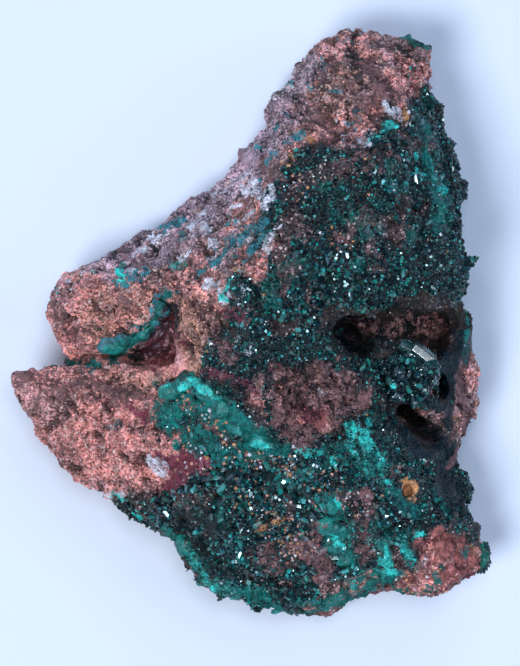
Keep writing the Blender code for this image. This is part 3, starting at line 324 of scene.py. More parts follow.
        (0.8, 0.5, -17.7, -12.8, -19.5, -16.2, -18.4, -19.6), (0.7, 0.9, 24.2, -29.2, 25.3, -30.5),
        (1, 0.8, 13.6, 1.9, 18.2, 1.4, 24.7, 1), (0.8, 0.85, 21.8, -12.4, 24.7, -13.6, 26.8, -15.4),
        (0.5, 0.8, 33.3, -4.7, 32.1, -3.7, 30.6, -4.1), (0.7, 0.6, -36.8, -8.9, -28, -10.2, -19.4, -11.5),
        (0.8, 0.8, 18.6, 44.1, 20.9, 40.2, 22.8, 37.4), (0.7, 0.8, 24.6, 46.9, 27.9, 44.7),
        (1, 0.72, 10.6, 40.6, 15, 37.3, 18.8, 34.3), (0.8, 0.6, -14.7, 10.1, -11.6, 8.7, -8.3, 7),
        (0.7, 0.6, 5.9, 39.8, 7.6, 36.3, 8.5, 32.3), (0.8, 0.55, -7.6, 15.4, -4.5, 12.9),
        (0.7, 0.6, -26.5, -1, -22.1, -2.4, -19.2, -1), (0.7, 0.75, 5, -15.6, 6.8, -17.7),
        (0.7, 0.75, 12.4, -14, 14.1, -16), (0.5, 0.8, 8.8, -11.3, 10.1, -12.7), (0.7, 0.8, 23.9, -28.2, 24.6, -29.8),
        (0.7, 0.75, 16.3, 44.1, 17.8, 40.1, 20, 36.7), (0.5, 0.7, 7.5, 28.9, 10.4, 29.5, 13.3, 30.6),
        (1.2, 1, 16.3, 46.3, 19.6, 42.3, 21.7, 38.2, 22.8, 35.3), (0.8, 0.8, 7.6, 37.3, 11.1, 32.7, 16.1, 30.3),
        (0.7, 0.85, 6.4, -12.3, 8.1, -14), (0.7, 0.85, 10.4, -14, 12.4, -15.7), (0.6, 0.85, 14.1, -12.3, 15.4, -13.7),
        (0.7, 0.8, 7.4, -9, 10.1, -10), (0.8, 0.7, -38.5, -9.2, -33.2, -10.2, -26.3, -10.8, -20.3, -12.2),
        (1.7, 0.8, -16.4, -4.5, -14.6, -1.7, -14.2, 1.4), (0.8, 0.7, 2.1, -10.6, 5.8, -9.3, 7.4, -11.3),
        (0.7, 0.95, 24.4, -27.2, 24.9, -29.3),
    ),
    "vug": (
        (3.7, 1, 6.1, -10.2, 9.1, -12.3, 14.9, -11.3), (2.2, 1, 5, -16, 7.4, -18.3), (2, 0.8, 11.6, -14.7, 14.9, -14),
        (1.7, 0.7, 33.8, -12, 36.7, -16.4, 35.4, -20.7), (2, 0.4, -9.1, -1, -6.6, -3.5),
        (2, 0.5, -21.1, -12, -15.1, -11.1), (1.5, 0.6, 19.2, -29.4, 18.6, -38.1), (2, 0.5, 26.1, 44.6, 28, 40.6),
        (1.7, 0.4, 12.6, 44.6, 15, 39.1), (2, 0.8, -9.2, 3.1, -6.6, -1, -4.5, -4.7),
    ),
}
MASKS = tuple(PATCHES)

# Where the weathered outline stands off the plain solid: x and y, the way in x and y, and the reach, in millimetres.
NUDGES = (
    (-37.3, -16.0, -1.1, -1.1, 5), (-32.3, -21.8, -1.1, -1.1, 5), (-28.2, -25.9, -1.0, -1.0, 5),
    (9.9, -47.8, 0, -1.2, 4), (14.8, -47.1, 0, -1.2, 4), (27.3, -43.8, 0, -1.6, 5), (32.2, -42.8, 0.3, -1.3, 5),
    (38.0, -40.0, 0.6, -0.6, 3), (4.9, 39.0, -1.6, 0.8, 4), (8.2, 44.4, -1.0, 0.5, 4), (-33.6, 2.2, -0.8, 0, 5),
    (-32.0, -3.6, -0.6, 0, 4), (-32.0, 7.2, -0.8, 0.4, 4), (32.2, 33.7, -1.3, 0, 6), (34.7, 27.0, -1.3, 0, 5),
    (38.0, -7.7, -1.5, 0, 5), (37.9, -12.7, -1.2, 0, 4), (36.4, -25.9, -1.5, 0, 4), (-11.6, -39.2, 0.7, 0.6, 4),
    (-4.2, -45.8, 0.4, 1.0, 5), (0.0, -47.7, 0, 1.0, 4), (3.4, 37.5, -1.0, 0.4, 3), (-3.5, 27.9, 1.2, -0.5, 3),
    (-28.5, 8.4, -0.9, 0.7, 3.5), (-38.8, -10.8, -1.3, -0.3, 3.5), (18.8, 47.4, -0.4, -1.0, 3),
    (-0.4, -46.4, 0.8, 0.8, 3), (32.7, -20.2, 0.7, 0, 4), (33.4, -27.0, -1.2, 0, 3.5),
    (-36.0, -14.0, -0.7, -0.5, 4), (-9.0, 21.8, -0.8, 0.4, 3),
)


# ---------------------------------------------------------------- settings


def length(name, description, default, low=0.0, high=1.0):
    return FloatProperty(
        name=name, description=description, default=default, min=low, max=high, precision=5,
        subtype="DISTANCE", unit="LENGTH",
    )


def colour(name, description, default):
    return FloatVectorProperty(
        name=name, description=description, default=default, min=0, max=1, size=3, subtype="COLOR"
    )


def factor(name, description, default, high=1.0):
    return FloatProperty(name=name, description=description, default=default, min=0, max=high, subtype="FACTOR")


class SPECIMEN_PG_rock(bpy.types.PropertyGroup):
    cell: length("Mesh cell", "Width of one mesh cell of the rock", 0.0005)
    chip: length("Chip", "Width of a large broken chip of rock", 0.0034)
    small_chip: length("Small chip", "Width of a small broken chip of rock", 0.0015)
    grain: length("Grain", "Width of one grain in the rock", 0.00034)
    crumb: length("Crumb", "Width of the largest loose-looking crumb", 0.00044)
    crumb_spacing: length("Crumb spacing", "Least distance between two crumbs", 0.00072)
    brown: colour("Brown", "Plain brown rock", (0.30, 0.17, 0.16))
    pink: colour("Pink", "Red-pink rock", (0.88, 0.34, 0.30))
    lilac: colour("Lilac", "Lilac-grey rock", (0.43, 0.33, 0.42))
    tan: colour("Tan", "Coarse tan grains", (0.60, 0.31, 0.22))
    pit: colour("Pit", "Shaded pits between the grains", (0.016, 0.008, 0.010))


class SPECIMEN_PG_stains_and_shade(bpy.types.PropertyGroup):
    # Near-black crust, also laid as painted shade on the hollow's floor and the druse's middle.
    dark: colour("Dark", "Near-black green crust", (0.005, 0.011, 0.013))
    # Painted shade: the dark brown of the hollows' walls stands for their shade.
    umber: colour("Umber", "Dark brown walls of the hollows", (0.04, 0.026, 0.025))
    plum: colour("Plum", "Smooth lilac-red skin of the recess", (0.52, 0.36, 0.48))
    maroon: colour("Maroon", "Deep red stain", (0.20, 0.042, 0.068))
    coral: colour("Coral", "Salmon-red stain", (0.36, 0.115, 0.105))
    rust: colour("Rust", "Ochre and orange stain", (0.60, 0.29, 0.13))
    pale: colour("Pale", "White and lilac dust", (0.78, 0.79, 0.90))
    brown: colour("Brown", "Bare brown patches in the green crust", (0.22, 0.11, 0.115))
    blue: colour("Blue", "Blue veins", (0.045, 0.25, 0.31))
    teal: colour("Teal", "Blue-green crust", (0.006, 0.17, 0.155))
    turquoise: colour("Turquoise", "Powdery turquoise crust", (0.035, 0.62, 0.56))


class SPECIMEN_PG_druse(bpy.types.PropertyGroup):
    spacing: length("Spacing", "Least distance between two small crystals", 0.00043)
    large_spacing: length("Large spacing", "Least distance between two large crystals", 0.00105)
    smallest: length("Smallest", "Width of the smallest crystals", 0.00028)
    largest: length("Largest", "Width of the largest small crystals", 0.00058)
    prism: length("Prism", "Width of the largest crystals", 0.00088)
    deep: colour("Deep", "Deep blue-green crystal", (0.002, 0.021, 0.029))
    green: colour("Green", "Emerald crystal", (0.004, 0.17, 0.145))
    # The pale colour of fresh patches, and a painted glint on the few crystals with the highest tint.
    light: colour("Light", "Pale blue-green crystal", (0.06, 0.26, 0.26))
    ground: colour("Ground", "Dark crust between the crystals", (0.012, 0.011, 0.012))
    mud: colour("Mud", "Brown dust on the crystals", (0.045, 0.043, 0.044))
    # Partly the skin's own dark colour, partly painted shade of the right flank.
    navy: colour("Navy", "Smooth dark skin beside the hollow", (0.003, 0.014, 0.026))


class SPECIMEN_PG_blue(bpy.types.PropertyGroup):
    cell: length("Mesh cell", "Width of one mesh cell of the crusts", 0.00026)
    bubble: length("Bubble", "Width of one rounded bubble of crust", 0.0022)
    deep: colour("Deep", "Deep blue-green chrysocolla", (0.003, 0.06, 0.055))
    bright: colour("Bright", "Bright green chrysocolla", (0.006, 0.23, 0.195))
    malachite: colour("Malachite", "Green malachite", (0.006, 0.15, 0.12))


class SPECIMEN_PG_stage(bpy.types.PropertyGroup):
    floor: colour("Floor", "Pale floor", (0.79, 0.87, 1.0))
    sky: colour("Sky", "Colour of the soft light from all round", (0.36, 0.58, 1.0))
    sky_strength: factor("Sky strength", "Strength of the soft light from all round", 0.11, 10)
    lamp_colour: colour("Lamp colour", "Colour of the main soft boxes", (0.88, 0.91, 0.98))
    fill_colour: colour("Fill colour", "Colour of the soft boxes on the shaded side", (0.50, 0.72, 1.0))
    window: factor("Window", "Radiance of the main soft box", 19.2, 50)
    overhead: factor("Overhead", "Radiance of the soft box straight above", 8.0, 50)
    fill: factor("Fill", "Radiance of the shaded side's soft boxes", 2.0, 50)
    lens: FloatProperty(name="Lens", description="Focal length of the camera", default=216.9, unit="CAMERA")
    height: length("Camera height", "Height of the camera above the table", 0.70, high=10)


GROUPS = {
    "specimen_rock": SPECIMEN_PG_rock,
    "specimen_stains": SPECIMEN_PG_stains_and_shade,
    "specimen_druse": SPECIMEN_PG_druse,
    "specimen_blue": SPECIMEN_PG_blue,
    "specimen_stage": SPECIMEN_PG_stage,
}


# ---------------------------------------------------------------- fields on arrays of points, in millimetres


def hashed(cells, seed, channel=0):
    """A number from 0 to 1 for each whole-numbered cell."""
    cells = cells.astype(np.int64)
    h = cells[..., 0] * 73856093 ^ cells[..., 1] * 19349663 ^ cells[..., 2] * 83492791
    h = (h ^ (seed * 2654435761 + channel * 97531)) & 0xFFFFFFFF
    h = (h ^ (h >> 15)) * 2246822519 & 0xFFFFFFFF
    h = (h ^ (h >> 13)) * 3266489917 & 0xFFFFFFFF
    return ((h ^ (h >> 16)) & 0xFFFFFF) / 0xFFFFFF


# Octaves average out towards nought, and this spreads them again.
NOISE_SPREAD = 1.6


def smooth_noise(points, size, seed, octaves=1):
    """Noise from about -1 to 1 whose lumps are about size across."""
    total, weight, scale = 0.0, 0.0, 1.0
    for octave in range(octaves):
        q = points / size / scale + 0.37 * octave
        base = np.floor(q)
        f = q - base
        f = f * f * (3 - 2 * f)
        value = 0.0
        for corner in range(8):
            step = np.array([corner & 1, corner >> 1 & 1, corner >> 2 & 1])
            w = np.prod(np.where(step, f, 1 - f), axis=-1)
            value = value + w * hashed(base + step, seed + octave)
        total = total + (2 * value - 1) * scale
        weight += scale
        scale /= 2
    return total / weight * NOISE_SPREAD


def cells_of(points, size, seed):
    """For each point the distance to the nearest and the next cell centre, the way from it, and that cell."""
    q = points / size
    base = np.floor(q)
    near = np.full(len(q), 9.0)
    second = np.full(len(q), 9.0)
    way = np.zeros_like(q)
    cell = np.zeros_like(q)
    for x in (-1, 0, 1):
        for y in (-1, 0, 1):
            for z in (-1, 0, 1):
                c = base + (x, y, z)
                centre = c + np.stack([hashed(c, seed, k) for k in range(3)], -1)
                d = q - centre
                distance = np.sqrt((d * d).sum(-1))
                closer = distance < near
                second = np.where(closer, near, np.minimum(second, distance))
                near = np.where(closer, distance, near)
                way = np.where(closer[:, None], d, way)
                cell = np.where(closer[:, None], c, cell)
    return near, second, way, cell


def chips(points, size, seed):
    """Height of broken chips: each cell is a plane tilted its own way and set at its own level."""
    step, crack, crack_width = 0.45, 0.25, 0.12
    near, second, way, cell = cells_of(points, size, seed)
    tilt = np.stack([hashed(cell, seed + 5, k) for k in range(3)], -1) * 2 - 1
    level = hashed(cell, seed + 9) - 0.5
    return (way * tilt).sum(-1) + step * level - crack * np.exp(-(((second - near) / crack_width) ** 2))


def bubbles(points, size, seed):
    """Height of rounded bubbles that meet in creases, from 0 to 1."""
    radius = 0.95
    near = cells_of(points, size, seed)[0]
    return np.sqrt(np.clip(1 - (near / radius) ** 2, 0, 1))


def ramp(values, low, high):
    """A smooth step from 0 at low to 1 at high."""
    t = np.clip((values - low) / (high - low), 0, 1)
    return t * t * (3 - 2 * t)


def distance_to_line(points, line):
    """Each point's distance to a line of joined points, or to a single point."""
    line = np.array(line, float)
    if len(line) == 1:
        return np.sqrt(((points - line[0]) ** 2).sum(-1))
    best = np.full(len(points), 1e9)
    for a, b in zip(line[:-1], line[1:]):
        t = np.clip(((points - a) @ (b - a)) / ((b - a) @ (b - a)), 0, 1)
        best = np.minimum(best, np.sqrt(((points - a - t[:, None] * (b - a)) ** 2).sum(-1)))
    return best


def patch_mask(points, name):
    """How strongly a kind of stain covers each point, with ragged edges."""
    seed = 100 + MASKS.index(name)
    drift = np.stack([smooth_noise(points, 2.6, seed + 10 * k, 3) for k in range(2)], -1)
    mask = np.zeros(len(points))
    for width, strength, *spots in PATCHES[name]:
        line = list(zip(spots[::2], spots[1::2]))
        moved = points[:, :2] + drift * min(0.25 + 0.45 * width, 1.3)
        soft = 0.25 + 0.22 * width
        mask = np.maximum(mask, strength * ramp(distance_to_line(moved, line), width + soft, width - soft))
    return mask


def nudged(points):
    """The points moved sideways to the weathered outline."""
    moved = points.copy()
    for x, y, dx, dy, reach in NUDGES:
        pull = np.exp(-((points[:, 0] - x) ** 2 + (points[:, 1] - y) ** 2) / reach**2)
        moved[:, 0] += dx * pull
        moved[:, 1] += dy * pull
    return moved


# ---------------------------------------------------------------- meshes


def new_object(name, mesh):
    obj = bpy.data.objects.new(name, mesh)
    bpy.context.scene.collection.objects.link(obj)
    return obj


@contextmanager
def edited(mesh):
    """Opens a mesh for editing, and writes it back at the end."""
    bm = bmesh.new()
    bm.from_mesh(mesh)
    yield bm
    bm.to_mesh(mesh)
    bm.free()


def node_mesh(node, swell):
    """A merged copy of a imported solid's mesh, swollen by a distance."""
    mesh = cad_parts[node].data.copy()
    with edited(mesh) as bm:
        bmesh.ops.remove_doubles(bm, verts=bm.verts, dist=DOUBLES)
        bm.normal_update()
        for vert, normal in [(v, v.normal.copy()) for v in bm.verts]:
            vert.co += normal * swell
    mesh.materials.clear()
    return mesh


def joined(name, *meshes):
    """One object that holds all the meshes, which are then removed."""
    bm = bmesh.new()
    for mesh in meshes:
        bm.from_mesh(mesh)
        bpy.data.meshes.remove(mesh)
    made = bpy.data.meshes.new(name)
    bm.to_mesh(made)
    bm.free()
    return new_object(name, made)


def apply_modifiers(obj):
    """Replaces the object's mesh by the result of its modifiers, which are then removed."""
    graph = bpy.context.evaluated_depsgraph_get()
    made = bpy.data.meshes.new_from_object(obj.evaluated_get(graph), depsgraph=graph)
    obj.modifiers.clear()
    old = obj.data
    obj.data = made
    made.name = obj.name
    if not old.users:
        bpy.data.meshes.remove(old)


def remesh(obj, cell, smoothing):
    """One closed skin round all the object's shells, with its corners worn round."""
    voxel = obj.modifiers.new("skin", "REMESH")
    voxel.mode, voxel.voxel_size = "VOXEL", cell
    soft = obj.modifiers.new("wear", "SMOOTH")
    soft.factor, soft.iterations = 0.5, smoothing
    apply_modifiers(obj)
    keep_largest(obj.data)


def keep_largest(mesh):
    """Deletes every shell of a mesh but its largest."""
    with edited(mesh) as bm:
        left, shells = set(bm.verts), []
        while left:
            shell, todo = set(), [left.pop()]
            while todo:
                vert = todo.pop()
                shell.add(vert)
                for edge in vert.link_edges:
                    other = edge.other_vert(vert)
                    if other in left:
                        left.remove(other)
                        todo.append(other)
            shells.append(shell)
        shells.sort(key=len)
        bmesh.ops.delete(bm, geom=[v for shell in shells[:-1] for v in shell], context="VERTS")


def points_of(mesh):
    """The mesh's points in millimetres, and their normals."""
    points = np.empty(len(mesh.vertices) * 3)
    mesh.vertices.foreach_get("co", points)
    normals = np.empty(len(mesh.vertices) * 3)
    mesh.vertex_normals.foreach_get("vector", normals)
    return points.reshape(-1, 3) / MM, normals.reshape(-1, 3)


def place_points(mesh, points):
    mesh.vertices.foreach_set("co", (points * MM).ravel())
    mesh.update()


def set_mask(mesh, name, values):
    layer = mesh.attributes.get(name) or mesh.attributes.new(name, "FLOAT", "POINT")
    layer.data.foreach_set("value", np.asarray(values, np.float32))


def mask_of(mesh, name):
    values = np.empty(len(mesh.vertices), np.float32)
    mesh.attributes[name].data.foreach_get("value", values)
    return values


def above_foot(points, low, high):
    """From 0 to 1 between two heights above the foot."""
    return ramp(points[:, 2] - FOOT, low, high)


def close_foot(mesh):
    """Cuts the mesh off flat at the foot and fills the cut."""
    with edited(mesh) as bm:
        bmesh.ops.bisect_plane(
            bm, geom=bm.verts[:] + bm.edges[:] + bm.faces[:], plane_co=(0, 0, CAD_BOX[0].z), plane_no=(0, 0, 1),
            clear_inner=True,
        )
        rim = [e for e in bm.edges if e.is_boundary]
        bmesh.ops.triangle_fill(bm, edges=rim, use_beauty=True, use_dissolve=False)
        bmesh.ops.recalc_face_normals(bm, faces=bm.faces)


def finish_piece(obj, slot, *nodes):
    """Hands a finished piece over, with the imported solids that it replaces."""
    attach(obj, ROOT)
    if nodes:
        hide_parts(*nodes)


def flat_shape(name, corners, faces):
    """A small closed shape from corners and faces, kept out of the scene as a pattern for copies."""
    mesh = bpy.data.meshes.new(name)
    mesh.from_pydata(corners, [], faces)
    with edited(mesh) as bm:
        bmesh.ops.recalc_face_normals(bm, faces=bm.faces)
    return bpy.data.objects.new(name, mesh)


def hexagon(heights):
    """Six corners one unit across, whose heights go by turns."""
    angles = [math.radians(60 * i) for i in range(6)]
    return [(0.5 * math.cos(a), 0.5 * math.sin(a), heights[i % 2]) for i, a in enumerate(angles)]


def short_crystal():
    """A stubby rhombohedron one unit across, its lower point a little under the ground."""
    corners = [(0, 0, -0.45), (0, 0, 0.62), *hexagon((-0.09, 0.26))]
    faces = []
    for i in (0, 2, 4):
        faces.append((2 + i, 2 + (i + 1) % 6, 1, 2 + (i - 1) % 6))
        faces.append((2 + (i + 1) % 6, 2 + i, 0, 2 + (i + 2) % 6))
    return flat_shape("short_crystal", corners, faces)


# How far the prism's tip stands above its foot, in widths.
PRISM_TIP = 1.15


def long_crystal():
    """A six-sided prism one unit across that ends in the three faces of a rhombohedron."""
    corners = [*hexagon((-0.4, -0.4)), *hexagon((0.55, 0.85)), (0, 0, PRISM_TIP)]
    faces = [tuple(range(6))]
    faces += [(i, (i + 1) % 6, 6 + (i + 1) % 6, 6 + i) for i in range(6)]
    faces += [(6 + (i - 1) % 6, 6 + i, 6 + (i + 1) % 6, 12) for i in (0, 2, 4)]
    return flat_shape("long_crystal", corners, faces)


def crumb_shape():
    """A broken crumb of rock about one unit across."""
    corners = [
        (-0.45, -0.38, -0.35), (0.42, -0.46, -0.3), (0.5, 0.33, -0.38), (-0.3, 0.5, -0.3),
        (-0.3, -0.3, 0.32), (0.25, -0.42, 0.2), (0.36, 0.2, 0.4), (-0.38, 0.22, 0.24),
    ]
    faces = [(0, 1, 2, 3), (4, 5, 6, 7), (0, 1, 5, 4), (1, 2, 6, 5), (2, 3, 7, 6), (3, 0, 4, 7)]
    return flat_shape("crumb", corners, faces)


# The clear crystals on the edge of the mound: foot, way, width and length, in millimetres.
CLEAR_CRYSTALS = (
    ((27.4, -4.7, 32.9), (4.0, -3.0, 0.3), 2.3, 4.0), ((25.2, -3.7, 32.0), (3.4, -1.6, 0.9), 1.9, 3.0),
    ((23.2, -5.6, 31.2), (-1.0, -1.0, 2.4), 1.5, 2.4), ((26.5, -6.6, 31.0), (1.2, -2.2, 1.6), 1.6, 3.0),
)
WORN_EDGE = 0.12 * MM


def clear_crystals():
    """The clear six-sided crystals, with worn edges."""
    pattern = long_crystal()
    bm = bmesh.new()
    for foot, way, width, reach in CLEAR_CRYSTALS:
        place = Matrix.Translation(Vector(foot) * MM) @ Vector(way).to_track_quat("Z", "Y").to_matrix().to_4x4()
        stretch = Matrix.Diagonal((width * MM, width * MM, reach * MM / PRISM_TIP, 1))
        start = len(bm.verts)
        bm.from_mesh(pattern.data)
        bm.verts.ensure_lookup_table()
        for vert in bm.verts[start:]:
            vert.co = place @ stretch @ vert.co
    bmesh.ops.bevel(
        bm, geom=bm.edges[:], offset=WORN_EDGE, segments=2, profile=0.6, affect="EDGES", clamp_overlap=True
    )
    mesh = bpy.data.meshes.new("clear_crystals")
    bm.to_mesh(mesh)
    bm.free()
    bpy.data.objects.remove(pattern)
    return new_object("clear_crystals", mesh)


# ---------------------------------------------------------------- node trees


class Painter:
    """Adds nodes to one tree in few words."""

    def __init__(self, tree):
        self.tree = tree

    def feed(self, socket, value):
        if hasattr(value, "is_output"):
            self.tree.links.new(value, socket)
        elif hasattr(socket.default_value, "__len__") and len(socket.default_value) == 4:
            socket.default_value = (*value[:3], 1)
        else:
            socket.default_value = value

    def fill(self, sockets, feeds):
        """Feeds several sockets, each by its name or number."""
        for key, value in dict(feeds).items():
            self.feed(sockets[key], value)

    def add(self, kind, feeds=(), **settings):
        """Adds a node, feeds its inputs, and returns its outputs."""
        node = self.tree.nodes.new(kind)
        for key, value in settings.items():
            setattr(node, key, value)
        self.fill(node.inputs, feeds)
        return node.outputs

    def maths(self, operation, *values, clamp=False):
        return self.add("ShaderNodeMath", enumerate(values), operation=operation, use_clamp=clamp)[0]

    def times(self, a, b):
        return self.maths("MULTIPLY", a, b)

    def plus(self, a, b):
        return self.maths("ADD", a, b)

    def minus(self, a, b):
        return self.maths("SUBTRACT", a, b)

    def most(self, a, b):
        return self.maths("MAXIMUM", a, b)

    def times_plus(self, a, b, c):
        return self.maths("MULTIPLY_ADD", a, b, c)

    def vectors(self, operation, *values):
        return self.add("ShaderNodeVectorMath", enumerate(values), operation=operation)

    def ramp(self, value, low, high, out_low=0.0, out_high=1.0):
        feeds = {"Value": value, "From Min": low, "From Max": high, "To Min": out_low, "To Max": out_high}
        return self.add("ShaderNodeMapRange", feeds, interpolation_type="SMOOTHSTEP")[0]

    def mix(self, amount, a, b, blend="MIX"):
        return self.add("ShaderNodeMix", {0: amount, 6: a, 7: b}, data_type="RGBA", blend_type=blend)[2]

    def shaded(self, base, by):
        """The base colour multiplied by a shade or a colour."""
        return self.mix(1.0, base, by, "MULTIPLY")

    def over(self, base, name, share, colour):
        """Lays a share of a colour over the base where a mask is set."""
        return self.mix(self.times(self.mask(name), share), base, colour)

    def place(self):
        return self.add("ShaderNodeTexCoord")["Object"]

    def noise(self, place, size, detail=3.0, roughness=0.6, shift=0.0):
        feeds = {"Vector": place, "W": shift, "Scale": 1 / size, "Detail": detail, "Roughness": roughness}
        return self.add("ShaderNodeTexNoise", feeds, noise_dimensions="4D")["Fac"]

    def mask(self, name):
        return self.add("ShaderNodeAttribute", attribute_name=name)["Fac"]

    def bump(self, height, strength, distance):
        return self.add("ShaderNodeBump", {"Strength": strength, "Distance": distance, "Height": height})[0]

    def group(self, tree, **values):
        feeds = {key.replace("_", " ").capitalize(): value for key, value in values.items()}
        return self.add("ShaderNodeGroup", feeds, node_tree=tree)


def node_group(name, kind, inputs, outputs):
    """A new node group, its painter, its given values and its results."""
    tree = bpy.data.node_groups.new(name, kind)
    for side, sockets in (("INPUT", inputs), ("OUTPUT", outputs)):
        for socket, value in sockets:
            tree.interface.new_socket(socket, in_out=side, socket_type="NodeSocket" + value)
    paint = Painter(tree)
    results = tree.nodes.new("NodeGroupOutput").inputs
    return tree, paint, paint.add("NodeGroupInput"), results


# ---------------------------------------------------------------- geometry nodes


# How many points are tried in each square as wide as the least distance between two copies.
CROWD = 2.2


def scatter_tree():
    """A node tree that grows copies of one shape on a surface, kept apart from each other."""
    tree, paint, given, result = node_group(
        "grow_copies", "GeometryNodeTree",
        [
            ("Surface", "Geometry"), ("Shape", "Object"), ("Material", "Material"), ("Cover", "String"),
            ("Growth", "String"), ("Spacing", "Float"), ("Smallest", "Float"), ("Largest", "Float"),
            ("Extra growth", "Float"), ("Tilt", "Float"), ("Stretch", "Float"), ("Seed", "Int"),
        ],
        [("Copies", "Geometry")],
    )

    def chance(seed, low, high):
        node = tree.nodes.new("FunctionNodeRandomValue")
        node.data_type = "FLOAT"
        low_socket, high_socket = [s for s in node.inputs if s.enabled][:2]
        paint.feed(low_socket, low)
        paint.feed(high_socket, high)
        paint.feed(node.inputs["Seed"], paint.plus(given["Seed"], seed))
        return next(s for s in node.outputs if s.enabled)

    def cover(name):
        return paint.add("GeometryNodeInputNamedAttribute", {"Name": name}, data_type="FLOAT")["Attribute"]

    def rotation(x, y, z):
        angles = paint.add("ShaderNodeCombineXYZ", {0: x, 1: y, 2: z})[0]
        return paint.add("FunctionNodeEulerToRotation", {0: angles})[0]

    def rotated(first, then):
        return paint.add("FunctionNodeRotateRotation", {0: first, 1: then}, rotation_space="LOCAL")[0]

    density = paint.maths("DIVIDE", CROWD, paint.times(given["Spacing"], given["Spacing"]))
    spread = paint.add(
        "GeometryNodeDistributePointsOnFaces",
        {
            "Mesh": given["Surface"], "Distance Min": given["Spacing"], "Density Max": density,
            "Density Factor": cover(given["Cover"]), "Seed": given["Seed"],
        },
        distribute_method="POISSON",
    )
    shape = paint.add("GeometryNodeObjectInfo", {"Object": given["Shape"]})["Geometry"]
    lean = rotation(*(paint.times(given["Tilt"], chance(seed, -1.0, 1.0)) for seed in (3, 4)), 0.0)
    spin = rotation(0.0, 0.0, chance(7, -math.pi, math.pi))
    extra = paint.times(given["Extra growth"], cover(given["Growth"]))
    size = paint.times(chance(11, given["Smallest"], given["Largest"]), paint.plus(1.0, extra))
    width = paint.times(size, chance(17, 0.75, 1.15))
    height = paint.times(size, chance(13, 0.7, given["Stretch"]))
    copies = paint.add(
        "GeometryNodeInstanceOnPoints",
        {
            "Points": spread["Points"], "Instance": shape, "Rotation": rotated(rotated(spread["Rotation"], spin), lean),
            "Scale": paint.add("ShaderNodeCombineXYZ", {0: size, 1: width, 2: height})[0],
        },
    )[0]
    tinted = paint.add(
        "GeometryNodeStoreNamedAttribute", {"Geometry": copies, "Name": "tint", "Value": chance(19, 0.0, 1.0)},
        data_type="FLOAT", domain="INSTANCE",
    )[0]
    real = paint.add("GeometryNodeRealizeInstances", {0: tinted})[0]
    painted = paint.add("GeometryNodeSetMaterial", {"Geometry": real, "Material": given["Material"]})[0]
    paint.feed(result["Copies"], painted)
    return tree


def grow(name, surface, **inputs):
    """A plain mesh of copies grown on a surface by the scatter tree."""
    tree = bpy.data.node_groups.get("grow_copies") or scatter_tree()
    obj = new_object(name, surface)
    modifier = obj.modifiers.new("grow", "NODES")
    modifier.node_group = tree
    keys = {item.name: item.identifier for item in tree.interface.items_tree if item.in_out == "INPUT"}
    for key, value in inputs.items():
        modifier[keys[key.replace("_", " ").capitalize()]] = value
    obj.update_tag()
    bpy.context.view_layer.update()
    apply_modifiers(obj)
    if not obj.data.polygons:
        raise RuntimeError(name + " grew nothing")
    return obj


def merge_objects(first, *others):
    """Adds other objects' meshes to the first, and deletes them."""
    everything = [first, *others]
    with bpy.context.temp_override(
        active_object=first, object=first, selected_objects=everything, selected_editable_objects=everything
    ):
        bpy.ops.object.join()


# ---------------------------------------------------------------- shader nodes


# Besides real stains, this list lays painted shade: the dark brown of the hollows and part of the near-black crust.
STAINS_AND_SHADE = ("umber", "plum", "dark", "maroon", "coral", "rust", "brown", "pale", "blue", "teal", "turquoise")
# Painted highlight on the few sparkling grains.
GRAIN_HIGHLIGHT = (0.92, 0.70, 0.68)
WHITE_CRUMB = (0.75, 0.62, 0.62)
UNDER_CRYSTALS = (0.15, 0.22, 0.25)
TURQUOISE_BLOOM = (0.02, 0.27, 0.26)
CLEAR_DEEP = (0.05, 0.20, 0.23)
CLEAR_PALE = (0.16, 0.38, 0.40)
SEAM_DEEP = (0.012, 0.085, 0.12)
SEAM_BRIGHT = (0.035, 0.20, 0.25)
KNOB_DEEP = (0.003, 0.035, 0.035)
# Painted shade in the crusts' pores.
SKIN_PORE_SHADE = (0.012, 0.03, 0.032)
DIOPTASE_IOR = 1.66
SPARKLING_IOR = 1.71
ROCK_IOR = 1.55


def stains_and_shade_group():
    """Lays the mineral stains, and the painted shade among them, over a colour, each with grainy edges and its own
    mottling.
    """
    name = "mineral_stains"
    if name in bpy.data.node_groups:
        return bpy.data.node_groups[name]
    inputs = [("Place", "Vector"), ("Base", "Color")]
    for stain in STAINS_AND_SHADE:
        inputs += [(stain.capitalize(), "Color"), (stain.capitalize() + " cover", "Float")]
    outputs = [("Colour", "Color"), ("Cover", "Float")]
    tree, paint, given, result = node_group(name, "ShaderNodeTree", inputs, outputs)
    grit = paint.noise(given["Place"], 1.5 * MM, 5, 0.85, 3.1)
    shade = paint.ramp(paint.noise(given["Place"], 2.6 * MM, 6, 0.8, 6.4), 0.34, 0.66, 0.25, 1.7)
    colour, cover = given["Base"], 0.0
    for turn, stain in enumerate(STAINS_AND_SHADE):
        strength = given[stain.capitalize() + " cover"]
        edge = paint.times_plus(paint.minus(grit, 0.5 + 0.03 * (turn % 3)), 4.2, strength)
        amount = paint.times(paint.ramp(edge, 0.42, 0.72), paint.ramp(strength, 0.02, 0.2))
        colour = paint.mix(amount, colour, paint.shaded(given[stain.capitalize()], shade))
        cover = paint.most(cover, amount)
    paint.fill(result, {
        "Colour": colour,
        "Cover": cover,
    })
    return tree


